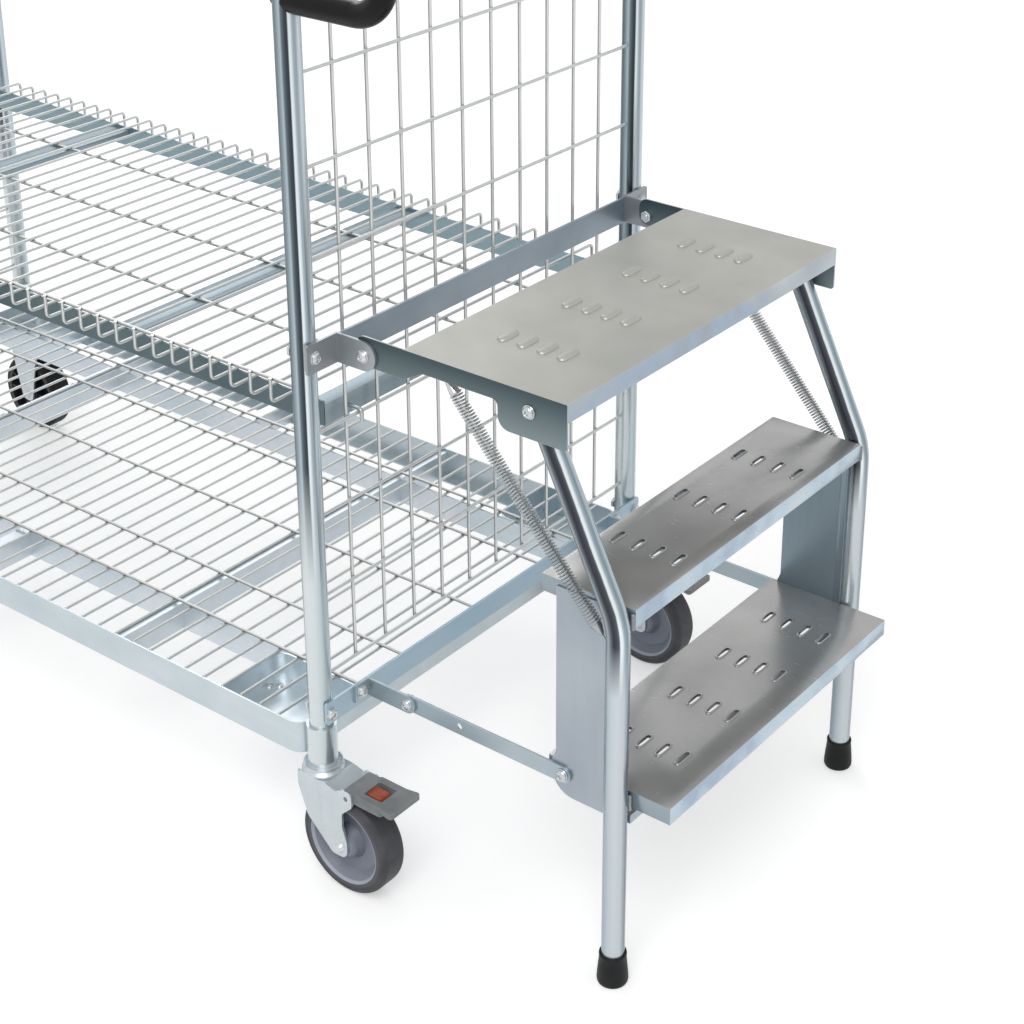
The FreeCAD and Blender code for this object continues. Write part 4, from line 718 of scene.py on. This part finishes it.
# Shelf bars
def folded_bar(low, high, open_sides):
    """Folded sheet bar: a block with its open sides taken off and the rest given a wall."""
    low, high = Vector(low), Vector(high)
    bar = block((low + high) / 2, high - low)
    pick(bar, "polygons", lambda face: any(face.normal.dot(Vector(way)) > 0.9 for way in open_sides))
    bpy.ops.mesh.delete(type="FACE")
    take_up(bar)
    wall = bar.modifiers.new("wall", "SOLIDIFY")
    wall.thickness = SHEET_WALL
    wall.offset = -1
    wall.use_even_offset = True
    bpy.ops.object.modifier_apply(modifier=wall.name)
    fold = bar.modifiers.new("fold", "BEVEL")
    fold.width = SHEET_FOLD
    fold.segments = 2
    fold.limit_method = "ANGLE"
    bpy.ops.object.modifier_apply(modifier=fold.name)
    return bar


ends_and_base = ((0, 0, -1), (0, 1, 0), (0, -1, 0))
shelf_bars = []
for x in (CENTRE_X - CHANNEL_SPACING, CENTRE_X + CHANNEL_SPACING):
    shelf_bars.append(folded_bar((x - CHANNEL_HALF, -SHELF_BAR_REACH, SHELF_BAR_TOP - CHANNEL_DEPTH),
                                 (x + CHANNEL_HALF, SHELF_BAR_REACH, SHELF_BAR_TOP), ends_and_base))
rear_start = REAR_X + END_BAR_INSET
ladder_stop = POST_X - END_BAR_INSET
for start, stop, open_way in ((rear_start, rear_start + END_BAR_FLANGE, (1, 0, 0)),
                              (ladder_stop - END_BAR_FLANGE, ladder_stop, (-1, 0, 0))):
    shelf_bars.append(folded_bar((start, -SHELF_BAR_REACH, END_BAR_LOW),
                                 (stop, SHELF_BAR_REACH, SHELF_BAR_TOP), ends_and_base + (open_way,)))
hand_over(joined(shelf_bars, "shelf_bars", 30), channel_zinc, "zinc_steel", "chassis", "shelf_cross_members")


# Louvres
def oblong(place, half_width, half_length, fill):
    """Oblong ring or plate, long across the trolley, left in edit mode with all of it selected."""
    middle = place[1]
    plate = round_blank(place, (0, 0, 1), half_width, LOUVRE_SIDES, fill)
    for side in (-1, 1):
        pick(plate, "vertices", lambda vertex: side * (vertex.co.y - middle) > 0.0001)
        bpy.ops.transform.translate(value=(0, side * (half_length - half_width), 0))
    bpy.ops.mesh.select_all(action="SELECT")
    return plate


def drawn_up(x, y, z, rings, fill):
    """Oblong pushed up or down ring by ring, left in edit mode."""
    (rise, half_width, half_length), *later = rings
    piece = oblong((x, y, z + rise), half_width, half_length, fill)
    for next_rise, next_width, next_length in later:
        push((0, 0, next_rise - rise))
        grow = (next_width / half_width, next_length / half_length, 1)
        bpy.ops.transform.resize(value=grow, center_override=(x, y, z + next_rise))
        rise, half_width, half_length = next_rise, next_width, next_length
    return piece


def pressed_hood(x, y, z):
    """Raised oblong pressed up from a tread, with steep walls and a rounded crown."""
    hood = drawn_up(x, y, z, TOP_HOOD, "NGON")
    put_down()
    return hood


def open_rim(x, y, z):
    """Lip drawn up round an opening, and its lining down through the sheet."""
    rim = drawn_up(x, y, z, LOUVRE_RIM, "NOTHING")
    bpy.ops.mesh.select_all(action="DESELECT")
    bpy.ops.mesh.select_mode(type="EDGE")
    bpy.ops.mesh.select_non_manifold()
    bpy.ops.mesh.bridge_edge_loops()
    put_down()
    return rim


def louvre_rows(louvre, louvres):
    first_x, step, rows, z = louvres
    return [repeated(louvre(first_x, y, z), LOUVRE_COLUMNS, (step, 0, 0)) for y in rows]


def open_tread(node, louvres):
    """Folded tread, cut through under each louvre."""
    first_x, step, rows, z = louvres
    low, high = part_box(node)
    tread = folded_bar(low, (high[0], high[1], z), ((0, 0, -1),))
    punches = []
    for y in rows:
        punch = oblong((first_x, y, z - PUNCH_REACH), *LOUVRE_HOLE, "NGON")
        push((0, 0, 2 * PUNCH_REACH))
        put_down()
        punches.append(repeated(punch, LOUVRE_COLUMNS, (step, 0, 0)))
    punch = joined(punches, "punch")
    take_up(tread)
    cut = tread.modifiers.new("cut", "BOOLEAN")
    cut.operation = "DIFFERENCE"
    cut.solver = "EXACT"
    cut.object = punch
    bpy.ops.object.modifier_apply(modifier=cut.name)
    take_up(punch)
    bpy.ops.object.delete()
    return tread


hoods = joined(louvre_rows(pressed_hood, TOP_LOUVRES), "top_tread_louvres", 50)
hand_over(hoods, top_hood_metal, "tread_steel", "step_top")
for step_name, louvres in (("middle", MIDDLE_LOUVRES), ("bottom", BOTTOM_LOUVRES)):
    plate = settled(open_tread(f"{step_name}_tread", louvres), f"{step_name}_step_plate", 30)
    hand_over(plate, low_tread_plate, "tread_steel", "ladder_legs", f"{step_name}_tread")
    rims = joined(louvre_rows(open_rim, louvres), f"{step_name}_tread_louvres", 50)
    hand_over(rims, low_rim_metal, "tread_steel", "ladder_legs")


# Fasteners
def domed_bolt(bearing, way, grip, nut=True):
    """Bolt with a collar, domed head and socket, and a chamfered nut where its shank ends."""
    out = Vector(way).normalized()
    head = turned(bearing, out, 20, [
        (0, 0.0076), (0.0010, 0.0076), (0.0014, 0.0072), (0.0014, 0.0066), (0.0026, 0.0065), (0.0038, 0.0056),
        (0.0046, 0.0042), (0.0050, 0.0028), (0.0046, 0.0024), (0.0030, 0.0022)])
    shank = turned(bearing, -out, 12, [
        (0, 0.0039), (grip, 0.0039), (grip + 0.0046, 0.0039), (grip + 0.0050, 0.0034)])
    if not nut:
        return [head, shank]
    far = Vector(bearing) - out * grip
    return [head, shank, turned(far, -out, 6, [
        (0, 0.0068), (0.0004, 0.0074), (0.0037, 0.0074), (0.0042, 0.0066), (0.0042, 0.0046),
        (0.0036, 0.0042)])]


def pan_screw(place):
    """Small pan-head screw seen from inside a trough, with its nut below the floor."""
    head = turned(place, (0, 0, 1), 16, [
        (0, 0.0045), (0.0014, 0.0045), (0.0027, 0.0036), (0.0033, 0.0020), (0.0027, 0.0016),
        (0.0018, 0.0015)])
    below = Vector(place) - Vector((0, 0, TROUGH_WALL))
    nut = turned(below, (0, 0, -1), 6, [(0, 0.0040), (0.0004, 0.0044), (0.0030, 0.0044), (0.0034, 0.0038)])
    return [head, nut]


frame_fasteners = []
for side in SIDES.values():
    post_y = side * HALF_WIDTH
    frame_fasteners += domed_bolt((RAIL_FACE_X, post_y, RAIL_BOLT_Z), (1, 0, 0), RAIL_GRIP)
    frame_fasteners += domed_bolt((RAIL_FACE_X, post_y, HINGE[1]), (1, 0, 0), RAIL_GRIP)
    frame_fasteners += domed_bolt((REAR_X - POST_R, post_y, RAIL_BOLT_Z), (-1, 0, 0), REAR_GRIP)
    frame_fasteners += domed_bolt((LINK_FACE_X, side * LINK_SCREW_Y, LOWER_PIVOT[1]), (1, 0, 0), LINK_GRIP)
    for z in HANDLE_BOLT_ZS:
        frame_fasteners += domed_bolt((POST_X - POST_R, post_y, z), (-1, 0, 0), HANDLE_GRIP, nut=False)
    for x, y in TROUGH_SCREWS:
        frame_fasteners += pan_screw((x, side * y, TROUGH_FLOOR_Z))
hand_over(joined(frame_fasteners, "frame_fasteners", 30), bright_zinc, "zinc_steel", "chassis", "frame_bolts")

# Each pivot bolt as its place and the depths of its head and nut inside the frame's width
pivots = (
    ("hinge_fasteners", "chassis", "hinge_bolts",
     ((HINGE, 0.0327, 0.0383), (LOWER_PIVOT, 0.0568, 0.0634))),
    ("leg_fasteners", "ladder_legs", "leg_bolts",
     ((LEG_PIVOT, 0.0357, 0.0633), (PLATE_PIVOT, 0.0598, 0.0679))),
)
for name, body, node, places in pivots:
    parts = []
    for (x, z), start, stop in places:
        for side in SIDES.values():
            parts += domed_bolt((x, side * (HALF_WIDTH - start), z), (0, side, 0), stop - start)
    hand_over(joined(parts, name, 30), bright_zinc, "zinc_steel", body, node)


# Welds between the lower treads and the legs
def weld_seam(place, way, beads, step):
    """Row of overlapping weld beads, each a flattened turned drop."""
    drop = turned(place, way, 10, [(-0.0026, 0.0010), (-0.0016, 0.0022), (0.0, 0.0027), (0.0016, 0.0022),
                                   (0.0026, 0.0010)])
    return repeated(drop, beads, step)


tread_welds = []
for tread_z in (MIDDLE_LOUVRES[3], BOTTOM_LOUVRES[3]):
    for side in SIDES.values():
        for x in (LEG_X - SEAM_X, LEG_X + SEAM_X):
            foot_of_seam = (x, side * SEAM_Y, tread_z - SEAM_DROP)
            tread_welds.append(weld_seam(foot_of_seam, (0, 0, 1), SEAM_BEADS, (0, 0, SEAM_STEP)))
hand_over(joined(tread_welds, "tread_welds", 60), weld_grey, "zinc_steel", "ladder_legs")


# Edge strips of the side plates
def plate_edge(side):
    """Strip that carries a side plate's edge on to its leg, with its long edges broken."""
    low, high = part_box("side_plates")
    middle = (high[0] + PLATE_EDGE / 2, side * PLATE_MIDDLE_Y, (low[2] + high[2]) / 2)
    strip = block(middle, (PLATE_EDGE, PLATE_WALL, high[2] - low[2]))
    bpy.ops.object.mode_set(mode="EDIT")
    bpy.ops.mesh.select_all(action="SELECT")
    bpy.ops.mesh.bevel(offset=PLATE_BREAK, segments=2)
    put_down()
    return strip


strips = [plate_edge(side) for side in SIDES.values()]
hand_over(joined(strips, "side_plate_edges", 30), side_zinc, "zinc_steel", "ladder_legs")


# Rubber feet
def rubber_foot(y):
    """Rubber ferrule: rounded sole, tapered wall, rolled rim and a bore for the leg."""
    rings = [(0, 0.0146), (0.0008, 0.0160), (0.0026, 0.0168), (0.0050, 0.0170), (0.0120, 0.0166),
             (0.0240, 0.0155), (0.0330, 0.0146), (0.0340, 0.0148), (0.0358, 0.0150), (0.0372, 0.0148),
             (0.0379, 0.0142), (0.0380, 0.0134), (0.0378, 0.0129), (0.0070, 0.0128)]
    return turned((LEG_X, y, 0), (0, 0, 1), 32, rings)


for end, side in SIDES.items():
    foot = settled(rubber_foot(side * LEG_Y), f"rubber_foot_{end}", 50)
    hand_over(foot, black_rubber, "black_rubber", "ladder_legs", f"foot_{end}")


# Wound lift springs
def wound_spring(end, side):
    """Close-wound spring with tapered plugs, a bent upper hook and a straight lower hook."""
    y = side * LEG_Y
    top = Vector((SPRING_TOP[0], y, SPRING_TOP[1]))
    low = Vector((SPRING_LOW[0], y, SPRING_LOW[1]))
    way = (low - top).normalized()
    length = (low - top).length
    coil_start, coil_stop = 0.027, length - 0.018
    coil_r, wire_r, hook_r = 0.0066, 0.0009, 0.0010
    pitch = (coil_stop - coil_start) / SPRING_TURNS
    put_down()
    bpy.ops.mesh.primitive_circle_add(vertices=7, radius=wire_r, location=(coil_r, 0, 0),
                                      rotation=(math.pi / 2, 0, 0))
    coil = bpy.context.object
    bpy.ops.object.transform_apply(location=True, rotation=True, scale=True)
    winding = coil.modifiers.new("winding", "SCREW")
    winding.axis = "Z"
    winding.screw_offset = pitch
    winding.iterations = SPRING_TURNS
    winding.steps = 14
    winding.render_steps = 14
    bpy.ops.object.modifier_apply(modifier=winding.name)
    bpy.ops.object.mode_set(mode="EDIT")
    bpy.ops.mesh.select_all(action="SELECT")
    bpy.ops.mesh.fill_holes(sides=0)
    put_down()
    coil.rotation_euler = way.to_track_quat("Z", "Y").to_euler()
    coil.location = top + way * coil_start
    take_up(coil)
    bpy.ops.object.transform_apply(location=True, rotation=True, scale=True)

    inward = Vector((0, -side, 0))
    bend = 0.0030
    eye = Vector((top.x, side * SPRING_FLANGE_Y, top.z))
    upper_hook = round_blank(eye, inward, hook_r, 8)
    push(inward * (abs(eye.y - y) - bend))
    swept(inward, way, Vector((eye.x, y + side * bend, eye.z)), bend, 4)
    push(way * (coil_start - 0.004 - bend))
    put_down()
    upper_plug = turned(top, way, 16, [(0.006, 0.0012), (0.008, 0.0024), (0.0250, 0.0058), (0.0290, 0.0058)])
    lower_plug = turned(low, -way, 16, [(0.006, 0.0012), (0.007, 0.0022), (0.0165, 0.0058), (0.0195, 0.0058)])
    lower_hook = turned(low, -way, 8, [(0.0, 0.0008), (0.0006, 0.0010), (0.010, 0.0010)])
    spring = joined([coil, upper_hook, upper_plug, lower_plug, lower_hook], f"wound_spring_{end}", 50)
    dressed(spring, spring_zinc)
    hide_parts(f"lift_spring_{end}")
    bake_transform(spring)


for end, side in SIDES.items():
    wound_spring(end, side)

# Camera at the photograph's viewing angle
FRAME_PIXELS = 1024
LENS_AXIS_PIXEL = (556.3, 274.4)
CAMERA_PLACE = (1.7446, -1.6216, 1.5128)
CAMERA_TURN, CAMERA_TILT, CAMERA_ROLL = (math.radians(angle) for angle in (37.2, 67.41, 0.2))
camera_data = bpy.data.cameras.new("camera")
camera = bpy.data.objects.new("camera", camera_data)
bpy.context.scene.collection.objects.link(camera)
camera_data.sensor_width = 36.0
camera_data.lens = 71.0
camera_data.shift_x = 0.5 - LENS_AXIS_PIXEL[0] / FRAME_PIXELS
camera_data.shift_y = LENS_AXIS_PIXEL[1] / FRAME_PIXELS - 0.5
camera.location = CAMERA_PLACE
aim = Matrix.Rotation(CAMERA_TURN, 3, "Z") @ Matrix.Rotation(CAMERA_TILT, 3, "X")
camera.rotation_euler = (aim @ Matrix.Rotation(CAMERA_ROLL, 3, "Z")).to_euler()
bpy.context.scene.camera = camera

# Floor, world and lamps
put_down()
bpy.ops.mesh.primitive_plane_add(size=40, location=(0, 0, 0))
floor = bpy.context.object
floor.name = "floor"


def seen_directly(tree):
    """One for camera, glossy and transmission rays, nought for the rays that light the object."""
    path = tree.nodes.new("ShaderNodeLightPath")
    level = added(tree, path.outputs["Is Camera Ray"], path.outputs["Is Glossy Ray"], "MAXIMUM")
    return added(tree, level, path.outputs["Is Transmission Ray"], "MAXIMUM")


floor_finish, floor_tree, floor_shader = new_finish("floor_white", 0.0, 0.1)
floor_shader.inputs["Base Color"].default_value = (0.82, 0.82, 0.82, 1.0)
floor_shader.inputs["Roughness"].default_value = 0.9
floor_shader.inputs["Emission Color"].default_value = (1.0, 1.0, 1.0, 1.0)
floor_glow = between(floor_tree, seen_directly(floor_tree), 0.0, 0.40)
floor_tree.links.new(floor_glow, floor_shader.inputs["Emission Strength"])
floor.data.materials.append(floor_finish)
world = bpy.data.worlds.new("studio")
bpy.context.scene.world = world
world.use_nodes = True
sky = world.node_tree.nodes["Background"]
sky.inputs["Color"].default_value = (1, 1, 1, 1)
sky_light = between(world.node_tree, seen_directly(world.node_tree), 0.62, 1.0)
world.node_tree.links.new(sky_light, sky.inputs["Strength"])
bpy.context.scene.view_settings.view_transform = "Standard"


def softbox(name, place, aim_at, width, watts):
    lamp_data = bpy.data.lights.new(name, "AREA")
    lamp_data.shape = "SQUARE"
    lamp_data.size = width
    lamp_data.energy = watts
    lamp = bpy.data.objects.new(name, lamp_data)
    bpy.context.scene.collection.objects.link(lamp)
    lamp.location = place
    lamp.rotation_euler = (Vector(aim_at) - Vector(place)).to_track_quat("-Z", "Y").to_euler()


softbox("key_softbox", (1.6, -2.2, 3.0), (0, 0, 0.5), 1.8, 46)
softbox("fill_softbox", (-2.6, 1.8, 2.6), (0, 0, 0.5), 1.8, 26)
